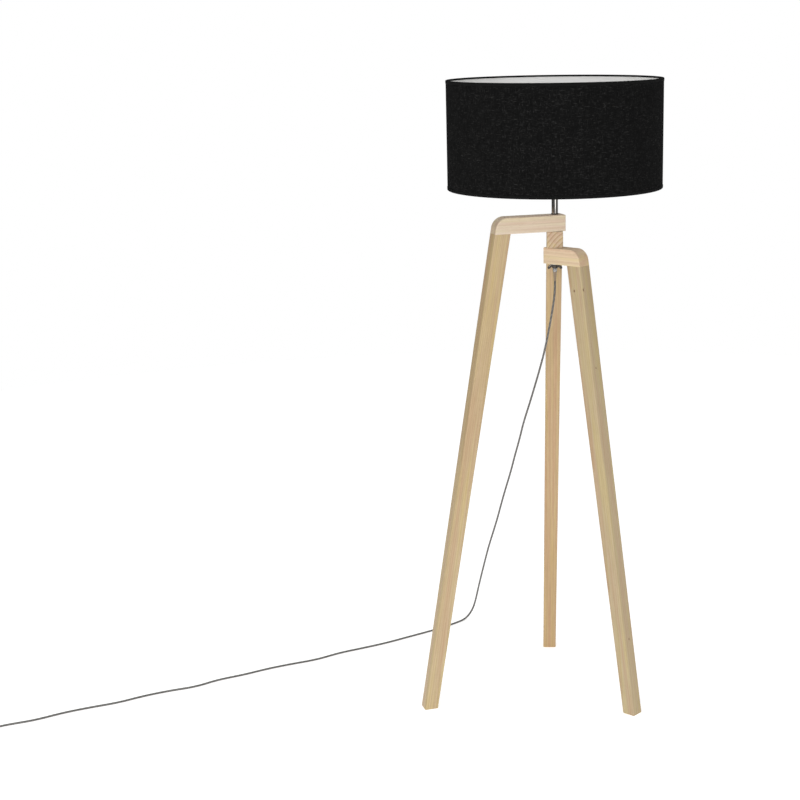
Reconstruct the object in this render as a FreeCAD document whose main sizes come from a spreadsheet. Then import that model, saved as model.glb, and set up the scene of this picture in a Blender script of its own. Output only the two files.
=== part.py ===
"""Tripod floor lamp: three wooden legs clamped on a hollow tube, a drum shade on a lampholder, a free lead.

Millimetres. The origin is on the floor, on the axis of the tube; +Z is up.
"""
import FreeCAD, Part
import Sketcher
import math
import os
import re

DIMENSIONS = (
    # wooden legs: an arm across the tube, and a tapered post glued under its outer end
    ("top_arm_level", 1188.5, "height of the top arm's upper face"),
    ("arm_height", 38, "arm section, upright"),
    ("arm_width", 38, "arm section, across"),
    ("arm_gap", 0.5, "gap between stacked arms"),
    ("arm_tail", 20.5, "arm beyond the tube axis"),
    ("knee_round", 30, "outer top corner of an arm"),
    ("wood_round", 2.5, "softened edges"),
    ("post_depth", 38.5, "post section at its top, along the arm"),
    ("foot_side", 32.8, "post section at the floor, square"),
    ("top_reach", 148, "tube axis to the outer end of the top arm"),
    ("middle_reach", 120, "the same, middle arm"),
    ("bottom_reach", 81.5, "the same, bottom arm"),
    ("top_splay", 9.5, "lean of the top post, degrees"),
    ("middle_splay", 9.0, "lean of the middle post, degrees"),
    ("bottom_splay", 8.6, "lean of the bottom post, degrees"),
    ("top_lean", 0, "sideways lean of the top post, degrees"),
    ("middle_lean", 0.72, "the same, middle post"),
    ("bottom_lean", 0, "the same, bottom post"),
    ("top_bearing", 201, "direction of the top arm from +X, degrees"),
    ("middle_bearing", 90.7, "direction of the middle arm, degrees"),
    ("bottom_bearing", 322, "direction of the bottom arm, degrees"),
    ("dowel_radius", 5, "dowel in the glued joint"),
    ("dowel_depth", 22, "dowel in each piece"),
    ("dowel_pitch", 18, "between the two dowels"),
    ("glue_gap", 0.1, "round a dowel"),
    # clamp
    ("tube_radius", 5, "threaded tube, outside"),
    ("tube_bore", 3.4, "threaded tube, inside radius"),
    ("tube_drop", 20, "threaded tube below the bottom arm"),
    ("tube_grip", 6, "threaded tube inside the holder cap"),
    ("tube_fit", 0.2, "round the tube in fixed pieces"),
    ("swivel_fit", 0.08, "round the tube in turning pieces"),
    ("face_slack", 0.05, "between faces that turn on each other"),
    ("pad_radius", 17, "friction washers between the arms"),
    ("washer_radius", 14, "clamp washer"),
    ("washer_thickness", 2, "clamp washer"),
    ("nut_radius", 8, "wing nut hub"),
    ("nut_height", 10, "wing nut hub"),
    ("wing_reach", 16.5, "tube axis to the tip of a wing"),
    ("wing_drop", 14.5, "seat of the wing nut to the tip of a wing"),
    ("wing_thickness", 3.2, "wing"),
    ("collar_radius", 9, "collar on the top arm"),
    ("collar_height", 2.5, "collar on the top arm"),
    ("pole_radius", 7.5, "cover tube"),
    ("pole_wall", 0.8, "cover tube"),
    ("pole_height", 60, "cover tube"),
    # lead
    ("cord_radius", 2.5, "round lead"),
    ("bush_flange", 2, "strain relief, under the tube's end"),
    ("bush_plug", 10, "strain relief, inside the tube"),
    ("bush_tail", 20, "strain relief, tapered tail"),
    ("bush_radius", 4.2, "strain relief at its flange"),
    ("bush_wall", 0.6, "strain relief at its tip"),
    ("coil_turn", 27, "inner turns of the put-away lead, radius"),
    ("lead_end", 22, "coil's tangent point to the plug"),
    ("plug_tail", 18, "plug's tapered tail"),
    ("plug_length", 36, "plug body"),
    ("plug_width", 34, "plug body"),
    ("plug_height", 15, "plug body"),
    ("pin_radius", 2, "plug pin"),
    ("pin_length", 19, "plug pin"),
    ("pin_pitch", 18.6, "between the pins"),
    # lampholder
    ("cap_radius", 14, "holder cap"),
    ("cap_height", 24, "holder cap"),
    ("cap_floor", 8, "holder cap, threaded floor"),
    ("cap_wall", 2, "holder cap"),
    ("body_radius", 19, "holder body"),
    ("body_height", 46, "holder body"),
    ("body_wall", 2, "holder body"),
    ("body_floor", 3, "holder body"),
    ("flange_height", 5, "holder body, bottom flange"),
    ("flange_lip", 2, "holder body, bottom flange"),
    ("insert_thickness", 12, "porcelain insert"),
    ("thread_fit", 0.1, "round threads that are drawn plain"),
    ("shell_radius", 13.6, "screw shell, inside"),
    ("shell_wall", 0.5, "screw shell"),
    ("shell_height", 26, "screw shell"),
    ("contact_height", 1, "centre contact"),
    ("screw_radius", 2.5, "terminal screw head"),
    ("screw_height", 2, "terminal screw head"),
    ("screw_pitch", 16, "between the terminal screws"),
    ("switch_length", 12, "switch block"),
    ("switch_width", 10, "switch block"),
    ("switch_height", 9, "switch block"),
    ("spindle_radius", 2.5, "switch spindle"),
    ("knob_gap", 2, "cap to knob"),
    ("knob_radius", 7, "switch knob"),
    ("knob_length", 13, "switch knob"),
    ("knob_bearing", 30, "direction of the knob, degrees"),
    # bulb
    ("bulb_cap_radius", 13.2, "screw cap"),
    ("bulb_cap_wall", 0.5, "screw cap"),
    ("bulb_cap_height", 26, "contact to the top of the screw cap"),
    ("bulb_neck", 34, "screw cap to the globe"),
    ("bulb_radius", 30, "globe"),
    ("bulb_wall", 1.2, "globe"),
    ("bulb_seat", 13, "globe's cut face below its centre"),
    ("bulb_lip", 27.5, "housing under the globe, radius"),
    # shade
    ("shade_radius", 250, "fabric drum, outside"),
    ("shade_height", 250, "with its bound edges"),
    ("fabric_wall", 1.0, "fabric"),
    ("liner_wall", 0.8, "liner"),
    ("layer_slack", 0.05, "between fabric, liner and binding"),
    ("wire_radius", 1.8, "rings in the bound edges"),
    ("trim_wall", 0.6, "binding"),
    ("trim_width", 7, "binding, outside"),
    ("trim_tuck", 2.4, "binding, inside"),
    ("shade_nut_radius", 26, "ring nuts on the holder"),
    ("shade_nut_height", 4, "ring nuts on the holder"),
    ("hub_radius", 28, "carrier ring"),
    ("hub_slack", 0.4, "carrier ring round the holder"),
    ("strip_thickness", 2, "carrier"),
    ("strip_width", 5, "carrier arm"),
    ("carrier_drop", 34, "carrier ring above the shade's lower edge"),
)

# Levels, as formulas of the sizes
MIDDLE_TOP = "(top_arm_level - arm_height - arm_gap)"
BOTTOM_TOP = "(top_arm_level - 2*arm_height - 2*arm_gap)"
UNDERSIDE = "(top_arm_level - 3*arm_height - 2*arm_gap)"
TUBE_END = f"({UNDERSIDE} - tube_drop)"
CORD_EXIT = f"({TUBE_END} - bush_flange - bush_tail)"
CAP_LEVEL = "(top_arm_level + collar_height + pole_height)"
BODY_LEVEL = f"({CAP_LEVEL} + cap_height)"
CARRIER_LEVEL = f"({BODY_LEVEL} + flange_height + shade_nut_height)"
SHADE_LEVEL = f"({CARRIER_LEVEL} - carrier_drop)"
INSERT_TOP = "(body_floor + screw_height + thread_fit + insert_thickness)"
BULB_LEVEL = f"({BODY_LEVEL} + {INSERT_TOP} + contact_height + 2*thread_fit)"
SPINDLE_LEVEL = f"({CAP_LEVEL} + cap_floor + 3 + switch_height/2)"
LINER_RADIUS = "(shade_radius - fabric_wall - liner_wall - layer_slack)"
WIRE_TURN = f"({LINER_RADIUS} - layer_slack - wire_radius)"
WIRE_RISE = "(trim_wall + layer_slack + wire_radius)"

# Route of the lead from the strain relief to the coil: down past the middle leg, then along the floor
CORD_ROUTE = (
    (0, 0, 1031.5), (0, 0, 1006), (-5, 12, 966), (-14, 31, 912), (-24, 52, 858), (-37, 76, 804),
    (-51, 102, 751), (-65, 130, 699), (-80, 158, 647), (-91, 187, 596), (-104, 215, 545), (-116, 243, 493),
    (-130, 270, 442), (-143, 299, 391), (-155, 329, 340), (-169, 359, 289), (-183, 388, 238),
    (-195, 416, 186), (-207, 443, 134), (-217, 467, 88), (-224, 484, 54), (-232, 492, 26), (-244, 484, 8),
    (-257, 464, 2.5), (-274, 443, 2.5), (-298, 418, 2.5), (-343, 377, 2.5), (-398, 335, 2.5),
    (-454, 290, 2.5), (-514, 252, 2.5), (-575, 216, 2.5), (-627, 170, 2.5), (-688, 140, 2.5),
    (-748, 106, 2.5), (-802, 66, 2.5), (-862, 33, 2.5), (-909, -12, 2.5), (-970, -38, 2.5),
    (-1029, -72, 2.5), (-1082, -113, 2.5), (-1143, -142, 2.5), (-1203, -176, 2.5), (-1258, -219, 2.5),
    (-1320, -247, 2.5), (-1368, -279, 2.5), (-1402, -300, 2.5),
)
COIL_TURNS = 3.25
COIL_LAYERS = 2
CARRIER_ARMS = 3
ARC_SHARE = 0.45

doc = FreeCAD.newDocument("TripodFloorLamp")
FUNCTIONS = ("sin", "cos", "tan", "sqrt", "asin")
UP = FreeCAD.Vector(0, 0, 1)
subparts = []


def make_sheet():
    sheet = doc.addObject("Spreadsheet::Sheet", "Sizes")
    for row, (alias, size, use) in enumerate(DIMENSIONS, 1):
        sheet.set(f"A{row}", use)
        sheet.set(f"B{row}", str(size))
        sheet.setAlias(f"B{row}", alias)
    doc.recompute()
    return sheet


sizes = make_sheet()


def size(alias):
    return float(sizes.get(alias))


def linked(formula):
    """A formula of size names, written for the expression engine."""
    return re.sub(r"[a-z][a-z_]*", lambda word: word[0] if word[0] in FUNCTIONS else "Sizes." + word[0], formula)


def bind(thing, **formulas):
    for name, formula in formulas.items():
        thing.setExpression(name.replace("__", "."), linked(formula))


def keep(piece, label):
    piece.Label = label
    subparts.append(piece)
    return piece


def new_body(label, level=None, bearing=None):
    body = keep(doc.addObject("PartDesign::Body", label), label)
    place(body, level, bearing)
    return body


def place(piece, level=None, bearing=None):
    if level:
        bind(piece, Placement__Base__z=level)
    if bearing:
        piece.Placement = FreeCAD.Placement(piece.Placement.Base, FreeCAD.Rotation(UP, 1))
        bind(piece, Placement__Rotation__Angle=bearing)


def new_sketch(body, plane, rise=None):
    planes = {feature.Role: feature for feature in body.Origin.OriginFeatures}
    sketch = body.newObject("Sketcher::SketchObject", "Sketch")
    sketch.AttachmentSupport = [(planes[plane], "")]
    sketch.MapMode = "FlatFace"
    if rise:
        bind(sketch, AttachmentOffset__Base__z=rise)
    return sketch


def fix_point(sketch, edge, end, across, along):
    """Ties one point of a sketch to two formulas, measured from the sketch's origin."""
    now = sketch.getPoint(edge, end)
    for kind, axis, formula, value in (("DistanceX", -2, across, now.x), ("DistanceY", -1, along, now.y)):
        if formula == "0":
            sketch.addConstraint(Sketcher.Constraint("PointOnObject", edge, end, axis))
        else:
            row = sketch.addConstraint(Sketcher.Constraint(kind, -1, 1, edge, end, value))
            sketch.setExpression(f"Constraints[{row}]", linked(formula))


def outline(sketch, corners):
    """Closed outline of straight edges whose corners are pairs of formulas."""
    count = len(corners)
    turns = [2 * math.pi * step / count for step in range(count)]
    ring = [FreeCAD.Vector(30 + 10 * math.cos(turn), 30 + 10 * math.sin(turn), 0) for turn in turns]
    for step in range(count):
        sketch.addGeometry(Part.LineSegment(ring[step], ring[(step + 1) % count]))
    for step in range(count):
        sketch.addConstraint(Sketcher.Constraint("Coincident", step, 2, (step + 1) % count, 1))
    for step, (across, along) in enumerate(corners):
        fix_point(sketch, step, 1, across, along)


def circle(sketch, radius, across="0", along="0"):
    edge = sketch.addGeometry(Part.Circle(FreeCAD.Vector(20, 20, 0), UP, 3))
    fix_point(sketch, edge, 3, across, along)
    row = sketch.addConstraint(Sketcher.Constraint("Radius", edge, 3))
    sketch.setExpression(f"Constraints[{row}]", linked(radius))


def feature(body, kind, sketch, **formulas):
    made = body.newObject("PartDesign::" + kind, kind)
    made.Profile = sketch
    bind(made, **formulas)
    return made


def spin(body, sketch):
    """Turns a profile drawn on the XZ plane about the body's Z axis."""
    made = feature(body, "Revolution", sketch)
    made.ReferenceAxis = (sketch, ["V_Axis"])
    made.Angle = 360
    return made


def turned(label, level, corners, bearing=None):
    """A turned piece: corners are (radius, height above level)."""
    body = new_body(label, level, bearing)
    sketch = new_sketch(body, "XZ_Plane")
    outline(sketch, corners)
    spin(body, sketch)
    return body


def sleeve(label, level, inner, outer, height):
    return turned(label, level, ((inner, "0"), (outer, "0"), (outer, height), (inner, height)))


def cut_through(body, sketch, length):
    """Cuts a sketched outline both ways from its plane and makes sure that it removed something."""
    doc.recompute()
    before = body.Shape.Volume
    pocket = feature(body, "Pocket", sketch, Length=length)
    pocket.Midplane = True
    doc.recompute()
    if body.Shape.Volume >= before:
        raise ValueError(f"{body.Label}: the cut removes nothing")


def round_edges(body, radius, wanted):
    """Rounds the edges that wanted(edge) picks on the body's present shape."""
    doc.recompute()
    base = body.Tip
    names = [f"Edge{number}" for number, edge in enumerate(base.Shape.Edges, 1) if wanted(edge)]
    if not names:
        raise ValueError(f"{body.Label}: no edge to round")
    fillet = body.newObject("PartDesign::Fillet", "Fillet")
    fillet.Base = (base, names)
    bind(fillet, Radius=radius)


def span(edge):
    """Direction from one end of an edge to the other, and its middle."""
    first, last = edge.Vertexes[0].Point, edge.Vertexes[-1].Point
    return last - first, (first + last) * 0.5


def dowel_holes(body, seat):
    sketch = new_sketch(body, "XY_Plane")
    for side in ("", "-"):
        circle(sketch, "dowel_radius + glue_gap", seat, f"{side}dowel_pitch/2")
    cut_through(body, sketch, "2*dowel_depth + 2*glue_gap")


def make_arm(label, level, bearing, reach, splay, seat, fit):
    body = new_body(label, f"{level} - arm_height", bearing)
    side = new_sketch(body, "XZ_Plane")
    outer = f"{reach} + arm_height*tan({splay})"
    outline(side, (("-arm_tail", "0"), (outer, "0"), (reach, "arm_height"), ("-arm_tail", "arm_height")))
    feature(body, "Pad", side, Length="arm_width").Midplane = True
    top, knee = size("arm_height"), size(reach)

    def is_knee(edge):
        run, middle = span(edge)
        return abs(run.y) > 1 and abs(middle.z - top) < 0.01 and abs(middle.x - knee) < 0.01

    def is_soft(edge):
        run, middle = span(edge)
        if edge.BoundBox.ZMin < 0.01 and edge.BoundBox.ZMax < 0.01:
            return False
        return abs(run.y) < 0.01 or middle.x < 0

    round_edges(body, "knee_round", is_knee)
    round_edges(body, "wood_round", is_soft)
    bore = new_sketch(body, "XY_Plane")
    circle(bore, f"tube_radius + {fit}")
    cut_through(body, bore, "3*arm_height")
    dowel_holes(body, seat)


def make_post(label, level, bearing, reach, splay, lean, seat):
    """The post hangs from the arm's underside, which is its own zero level."""
    body = new_body(label, f"{level} - arm_height", bearing)
    shoulder = f"({reach} + arm_height*tan({splay}))"
    heel = f"({reach} + {level}*tan({splay}))"
    fall = f"-({level} - arm_height)"
    sections = []
    for rise, outer, depth, width, aside in (
        (None, shoulder, "post_depth", "arm_width", "0"),
        (fall, heel, "foot_side", "foot_side", f"({level} - arm_height)*tan({lean})"),
    ):
        section = new_sketch(body, "XY_Plane", rise)
        inner = f"{outer} - {depth}"
        near, far = f"{aside} - {width}/2", f"{aside} + {width}/2"
        outline(section, ((inner, near), (outer, near), (outer, far), (inner, far)))
        sections.append(section)
    loft = feature(body, "AdditiveLoft", sections[0])
    loft.Sections = [sections[1]]
    loft.Ruled = True
    round_edges(body, "wood_round", lambda edge: abs(span(edge)[0].z) > 100)
    dowel_holes(body, seat)


def group(label, solids, level, bearing=None):
    compound = keep(doc.addObject("Part::Compound", label), label)
    compound.Links = solids
    place(compound, level, bearing)


def rod(radius, length, across, along, rise):
    """An upright cylinder for a group."""
    cylinder = doc.addObject("Part::Cylinder", "Rod")
    bind(cylinder, Radius=radius, Height=length)
    bind(cylinder, Placement__Base__x=across, Placement__Base__y=along, Placement__Base__z=rise)
    return cylinder


def make_leg(name, level, fit):
    reach, splay, lean, bearing = (f"{name}_{size}" for size in ("reach", "splay", "lean", "bearing"))
    seat = f"{reach} + arm_height*tan({splay}) - post_depth/2"
    make_arm(f"{name}_arm", level, bearing, reach, splay, seat, fit)
    make_post(f"{name}_leg", level, bearing, reach, splay, lean, seat)
    dowels = [
        rod("dowel_radius", "2*dowel_depth", seat, f"{side}dowel_pitch/2", "-dowel_depth") for side in ("", "-")
    ]
    group(f"{name}_dowels", dowels, f"{level} - arm_height", bearing)


def make_clamp():
    bore, swivel = "tube_radius + tube_fit", "tube_radius + swivel_fit"
    thickness = "arm_gap - face_slack"
    sleeve("upper_friction_washer", f"{MIDDLE_TOP} + face_slack", bore, "pad_radius", thickness)
    sleeve("lower_friction_washer", f"{BOTTOM_TOP} + face_slack", swivel, "pad_radius", thickness)
    length = f"{CAP_LEVEL} + tube_grip - {TUBE_END}"
    sleeve("threaded_tube", TUBE_END, "tube_bore", "tube_radius", length)
    collar = ((bore, "0"), ("collar_radius", "0"), ("pole_radius + pole_wall", "collar_height"), (bore, "collar_height"))
    turned("pole_collar", "top_arm_level", collar)
    sleeve("pole", "top_arm_level + collar_height", "pole_radius - pole_wall", "pole_radius", "pole_height")
    washer_level = f"{UNDERSIDE} - face_slack - washer_thickness"
    sleeve("clamp_washer", washer_level, swivel, "washer_radius", "washer_thickness")
    make_wing_nut(f"{washer_level} - face_slack", swivel)


def make_wing_nut(level, bore):
    hub = (
        (bore, "0"),
        ("nut_radius + 1", "0"),
        ("nut_radius + 1", "-1.5"),
        ("nut_radius - 1", "-nut_height"),
        (bore, "-nut_height"),
    )
    body = turned("wing_nut", level, hub)
    for side in ("", "-"):
        wing = new_sketch(body, "XZ_Plane")
        outline(wing, (
            (f"{side}(tube_radius + 1.5)", "-2"),
            (f"{side}(nut_radius + 2)", "-2.5"),
            (f"{side}(wing_reach - 1)", "-wing_drop/2 + 1"),
            (f"{side}wing_reach", "-wing_drop + 3.5"),
            (f"{side}(wing_reach - 1.5)", "-wing_drop + 0.8"),
            (f"{side}(wing_reach - 4)", "-wing_drop"),
            (f"{side}(wing_reach - 7)", "-wing_drop + 1.5"),
            (f"{side}(tube_radius + 1.5)", "-nut_height + 1"),
        ))
        feature(body, "Pad", wing, Length="wing_thickness").Midplane = True


def make_lead_entry():
    bore = "cord_radius + thread_fit"
    flange = "bush_tail + bush_flange"
    turned("strain_relief", CORD_EXIT, (
        (bore, "0"),
        (f"{bore} + bush_wall", "0"),
        ("bush_radius", "bush_tail"),
        ("tube_radius - 0.4", "bush_tail"),
        ("tube_radius - 0.4", flange),
        ("tube_bore - thread_fit", flange),
        ("tube_bore - thread_fit", f"{flange} + bush_plug"),
        (bore, f"{flange} + bush_plug"),
    ))
    top = f"{CAP_LEVEL} + cap_floor + 2 - {CORD_EXIT}"
    turned("inner_cable", CORD_EXIT, (("0", "0"), ("cord_radius", "0"), ("cord_radius", top), ("0", top)))


def make_holder_cap():
    bore, inner = "tube_radius + tube_fit", "cap_radius - cap_wall"
    body = turned("holder_cap", CAP_LEVEL, (
        (bore, "0"),
        ("cap_radius - 4", "0"),
        ("cap_radius", "5"),
        ("cap_radius", "cap_height"),
        (inner, "cap_height"),
        (inner, "cap_floor"),
        (bore, "cap_floor"),
    ), "knob_bearing")
    hole = new_sketch(body, "YZ_Plane", "cap_radius")
    circle(hole, "spindle_radius + swivel_fit", "0", f"{SPINDLE_LEVEL} - {CAP_LEVEL}")
    cut_through(body, hole, "2*cap_wall + 3")


def make_holder_body():
    neck, lip = "cap_radius - cap_wall", "body_radius + flange_lip"
    turned("holder_body", BODY_LEVEL, (
        (neck, "0"),
        (lip, "0"),
        (lip, "flange_height"),
        ("body_radius", "flange_height"),
        ("body_radius", "body_height"),
        ("body_radius - body_wall", "body_height"),
        ("body_radius - body_wall", "body_floor"),
        (neck, "body_floor"),
    ))
    low = "body_floor + screw_height + thread_fit"
    sleeve("holder_insert", f"{BODY_LEVEL} + {low}", "1.95", "body_radius - body_wall - thread_fit", "insert_thickness")
    sleeve("screw_shell", f"{BODY_LEVEL} + {INSERT_TOP}", "shell_radius", "shell_radius + shell_wall", "shell_height")
    rise = "-insert_thickness/2"
    turned("centre_contact", f"{BODY_LEVEL} + {INSERT_TOP} + thread_fit", (
        ("0", rise),
        ("1.9", rise),
        ("1.9", "0"),
        ("5", "0"),
        ("5", "contact_height"),
        ("0", "contact_height"),
    ))
    screws = [rod("screw_radius", "screw_height", f"{side}screw_pitch/2", "0", "0") for side in ("", "-")]
    group("terminal_screws", screws, f"{BODY_LEVEL} + body_floor")


def lay_along(piece, bearing, level, reach):
    """Lays a piece that is modelled along +Z on its side, pointing outwards along a bearing."""
    piece.Placement = FreeCAD.Placement(
        FreeCAD.Vector(0, 0, 0),
        FreeCAD.Rotation(UP, size(bearing)) * FreeCAD.Rotation(FreeCAD.Vector(0, 1, 0), 90),
    )
    bind(
        piece,
        Placement__Base__x=f"({reach})*cos({bearing})",
        Placement__Base__y=f"({reach})*sin({bearing})",
        Placement__Base__z=level,
    )


def make_switch():
    block = keep(doc.addObject("Part::Box", "switch_block"), "switch_block")
    bind(block, Length="switch_length", Width="switch_width", Height="switch_height")
    middle = "(-switch_length/2)", "(-switch_width/2)"
    place(block, f"{CAP_LEVEL} + cap_floor + 3", "knob_bearing")
    bind(
        block,
        Placement__Base__x=f"{middle[0]}*cos(knob_bearing) - {middle[1]}*sin(knob_bearing)",
        Placement__Base__y=f"{middle[0]}*sin(knob_bearing) + {middle[1]}*cos(knob_bearing)",
    )
    start = "switch_length/2 + thread_fit"
    length = "cap_radius + knob_gap + knob_length - 3 - switch_length/2 - thread_fit"
    spindle = turned("switch_spindle", None, (("0", "0"), ("spindle_radius", "0"), ("spindle_radius", length), ("0", length)))
    lay_along(spindle, "knob_bearing", SPINDLE_LEVEL, start)
    grip = "spindle_radius + layer_slack"
    knob = turned("switch_knob", None, (
        (grip, "0"),
        ("knob_radius - 1", "0"),
        ("knob_radius", "1"),
        ("knob_radius - 0.6", "knob_length - 1"),
        ("knob_radius - 1.6", "knob_length"),
        ("0", "knob_length"),
        ("0", "knob_length - 2.9"),
        (grip, "knob_length - 2.9"),
    ))
    lay_along(knob, "knob_bearing", SPINDLE_LEVEL, "cap_radius + knob_gap")


def make_bulb():
    cap_inner = "bulb_cap_radius - bulb_cap_wall"
    glass = f"{cap_inner} - thread_fit"
    globe_level = "bulb_cap_height + bulb_neck"
    turned("bulb_contact", BULB_LEVEL, (("0", "0"), ("4", "0"), ("4.5", "1.5"), ("0", "1.5")))
    turned("bulb_insulator", BULB_LEVEL, (("0", "1.55"), ("4.5", "1.55"), (glass, "5"), (glass, "7"), ("0", "7")))
    turned("bulb_cap", BULB_LEVEL, (
        (cap_inner, "5"),
        ("bulb_cap_radius - 0.3", "5"),
        ("bulb_cap_radius", "6"),
        ("bulb_cap_radius", "bulb_cap_height"),
        (cap_inner, "bulb_cap_height"),
    ))
    turned("bulb_housing", BULB_LEVEL, (
        (f"{glass} - 2", "8"),
        (glass, "8"),
        (glass, "bulb_cap_height + layer_slack"),
        ("bulb_cap_radius + 1", "bulb_cap_height + layer_slack"),
        ("bulb_lip", f"{globe_level} - 3"),
        ("bulb_lip", globe_level),
        ("bulb_lip - 2", globe_level),
        ("bulb_lip - 2", f"{globe_level} - 3"),
        (f"{glass} - 2", "bulb_cap_height + 2"),
    ))
    board = "bulb_lip - 2 - thread_fit"
    turned("bulb_board", f"{BULB_LEVEL} + {globe_level} - 2.5", (("0", "0"), (board, "0"), (board, "1.6"), ("0", "1.6")))
    make_globe(f"{BULB_LEVEL} + {globe_level} + bulb_seat")


def make_globe(level):
    """Hollow ball, cut flat below its middle where it sits on the housing."""
    balls = []
    for radius in ("bulb_radius", "(bulb_radius - bulb_wall)"):
        ball = doc.addObject("Part::Sphere", "Ball")
        bind(ball, Radius=radius)
        balls.append(ball)
    bind(balls[0], Angle1="-asin(bulb_seat/bulb_radius)")
    globe = keep(doc.addObject("Part::Cut", "bulb_globe"), "bulb_globe")
    globe.Base, globe.Tool = balls
    place(globe, level)


def mirrored(corners, height):
    return tuple((across, f"{height} - ({along})") for across, along in reversed(corners))


def make_shade():
    edge = "trim_wall + layer_slack"
    drum = f"shade_height - 2*({edge})"
    fabric_inner = "shade_radius - fabric_wall"
    sleeve("shade_fabric", f"{SHADE_LEVEL} + {edge}", fabric_inner, "shade_radius", drum)
    sleeve("shade_liner", f"{SHADE_LEVEL} + {edge}", LINER_RADIUS, f"{fabric_inner} - layer_slack", drum)
    inner = f"({WIRE_TURN} - wire_radius - layer_slack - trim_wall)"
    outer = "shade_radius + layer_slack + trim_wall"
    binding = (
        (inner, "0"),
        (outer, "0"),
        (outer, "trim_width"),
        ("shade_radius + layer_slack", "trim_width"),
        ("shade_radius + layer_slack", "trim_wall"),
        (f"{inner} + trim_wall", "trim_wall"),
        (f"{inner} + trim_wall", "trim_tuck"),
        (inner, "trim_tuck"),
    )
    turned("bottom_trim", SHADE_LEVEL, binding)
    turned("top_trim", SHADE_LEVEL, mirrored(binding, "shade_height"))
    for label, rise in (("bottom_wire", WIRE_RISE), ("top_wire", f"(shade_height - {WIRE_RISE})")):
        wire = keep(doc.addObject("Part::Torus", label), label)
        bind(wire, Radius1=WIRE_TURN, Radius2="wire_radius")
        place(wire, f"{SHADE_LEVEL} + {rise}")


def make_carrier_arm(bearing):
    """A flat strip from the carrier ring down to the wire of the shade's lower edge."""
    body = doc.addObject("PartDesign::Body", "CarrierArm")
    place(body, None, bearing)
    side = new_sketch(body, "XZ_Plane")
    high = "carrier_drop + strip_thickness"
    foot = f"({WIRE_RISE} + wire_radius)"
    head = f"{foot} + strip_thickness"
    outline(side, (
        ("hub_radius", "carrier_drop"),
        ("2*hub_radius", "carrier_drop"),
        (f"{WIRE_TURN} - 12", foot),
        (f"{WIRE_TURN} + 1", foot),
        (f"{WIRE_TURN} + 1", head),
        (f"{WIRE_TURN} - 12", head),
        ("2*hub_radius", high),
        ("hub_radius", high),
    ))
    feature(body, "Pad", side, Length="strip_width").Midplane = True
    return body


def make_carrier():
    """Ring on the holder, held by two ring nuts, and the three arms welded to it."""
    sleeve("carrier_hub", CARRIER_LEVEL, "body_radius + hub_slack", "hub_radius", "strip_thickness")
    arms = [make_carrier_arm(str(360 * number // CARRIER_ARMS)) for number in range(CARRIER_ARMS)]
    group("carrier_arms", arms, SHADE_LEVEL)
    nut_inner = "body_radius + thread_fit"
    lower, upper = f"{BODY_LEVEL} + flange_height", f"{CARRIER_LEVEL} + strip_thickness"
    sleeve("lower_shade_nut", lower, nut_inner, "shade_nut_radius", "shade_nut_height")
    sleeve("upper_shade_nut", upper, nut_inner, "shade_nut_radius", "shade_nut_height")


def turn_angle(before, after):
    return before.getAngle(after)


def cord_path(points):
    """Straight runs joined by tangent arcs, each as large as its two runs allow; returns edges and radii."""
    edges, radii = [], []
    start = points[0]
    for before, corner, after in zip(points, points[1:], points[2:]):
        arrive, leave = corner - before, after - corner
        turn = turn_angle(arrive, leave)
        reach = ARC_SHARE * min(arrive.Length, leave.Length)
        radius = reach / math.tan(turn / 2)
        arrive.normalize()
        leave.normalize()
        bend = leave - arrive
        bend.normalize()
        first, last = corner - arrive * reach, corner + leave * reach
        middle = corner + bend * (math.hypot(radius, reach) - radius)
        edges.append(Part.LineSegment(start, first).toShape())
        edges.append(Part.Arc(first, middle, last).toShape())
        radii.append(radius)
        start = last
    edges.append(Part.LineSegment(start, points[-1]).toShape())
    return edges, radii


def make_cord():
    radius = size("cord_radius")
    points = [FreeCAD.Vector(*point) for point in CORD_ROUTE]
    edges, radii = cord_path(points)
    path = Part.Wire(edges)
    section = Part.Wire(Part.Circle(points[0], points[1] - points[0], radius).toShape())
    solid = path.makePipeShell([section], True, True)
    expected = math.pi * radius**2 * path.Length
    print("cord radii", " ".join(f"{value:.0f}" for value in sorted(radii)[:12]), "smallest first")
    print(f"cord tube {path.Length:.0f} long, volume {solid.Volume / expected:.4f} of section times length")
    if abs(solid.Volume / expected - 1) > 0.01:
        raise ValueError("the cord's tube is not its section times its length")
    cord = keep(doc.addObject("Part::Feature", "cord"), "cord")
    cord.Shape = solid


def coil_frame():
    """Centre of the coil, and the point and direction in which the lead leaves it for the plug."""
    before, touch = (FreeCAD.Vector(*point) for point in CORD_ROUTE[-2:])
    along = (touch - before).normalize()
    across = FreeCAD.Vector(along.y, -along.x, 0)
    outer_turn = size("coil_turn") + 2 * size("cord_radius")
    centre = touch + across * outer_turn
    turned_by = FreeCAD.Rotation(UP, -360 * COIL_TURNS)
    leave = centre + turned_by.multVec(touch - centre)
    height = (2 * COIL_LAYERS - 1) * size("cord_radius")
    return centre, FreeCAD.Vector(leave.x, leave.y, height), turned_by.multVec(along)


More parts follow.
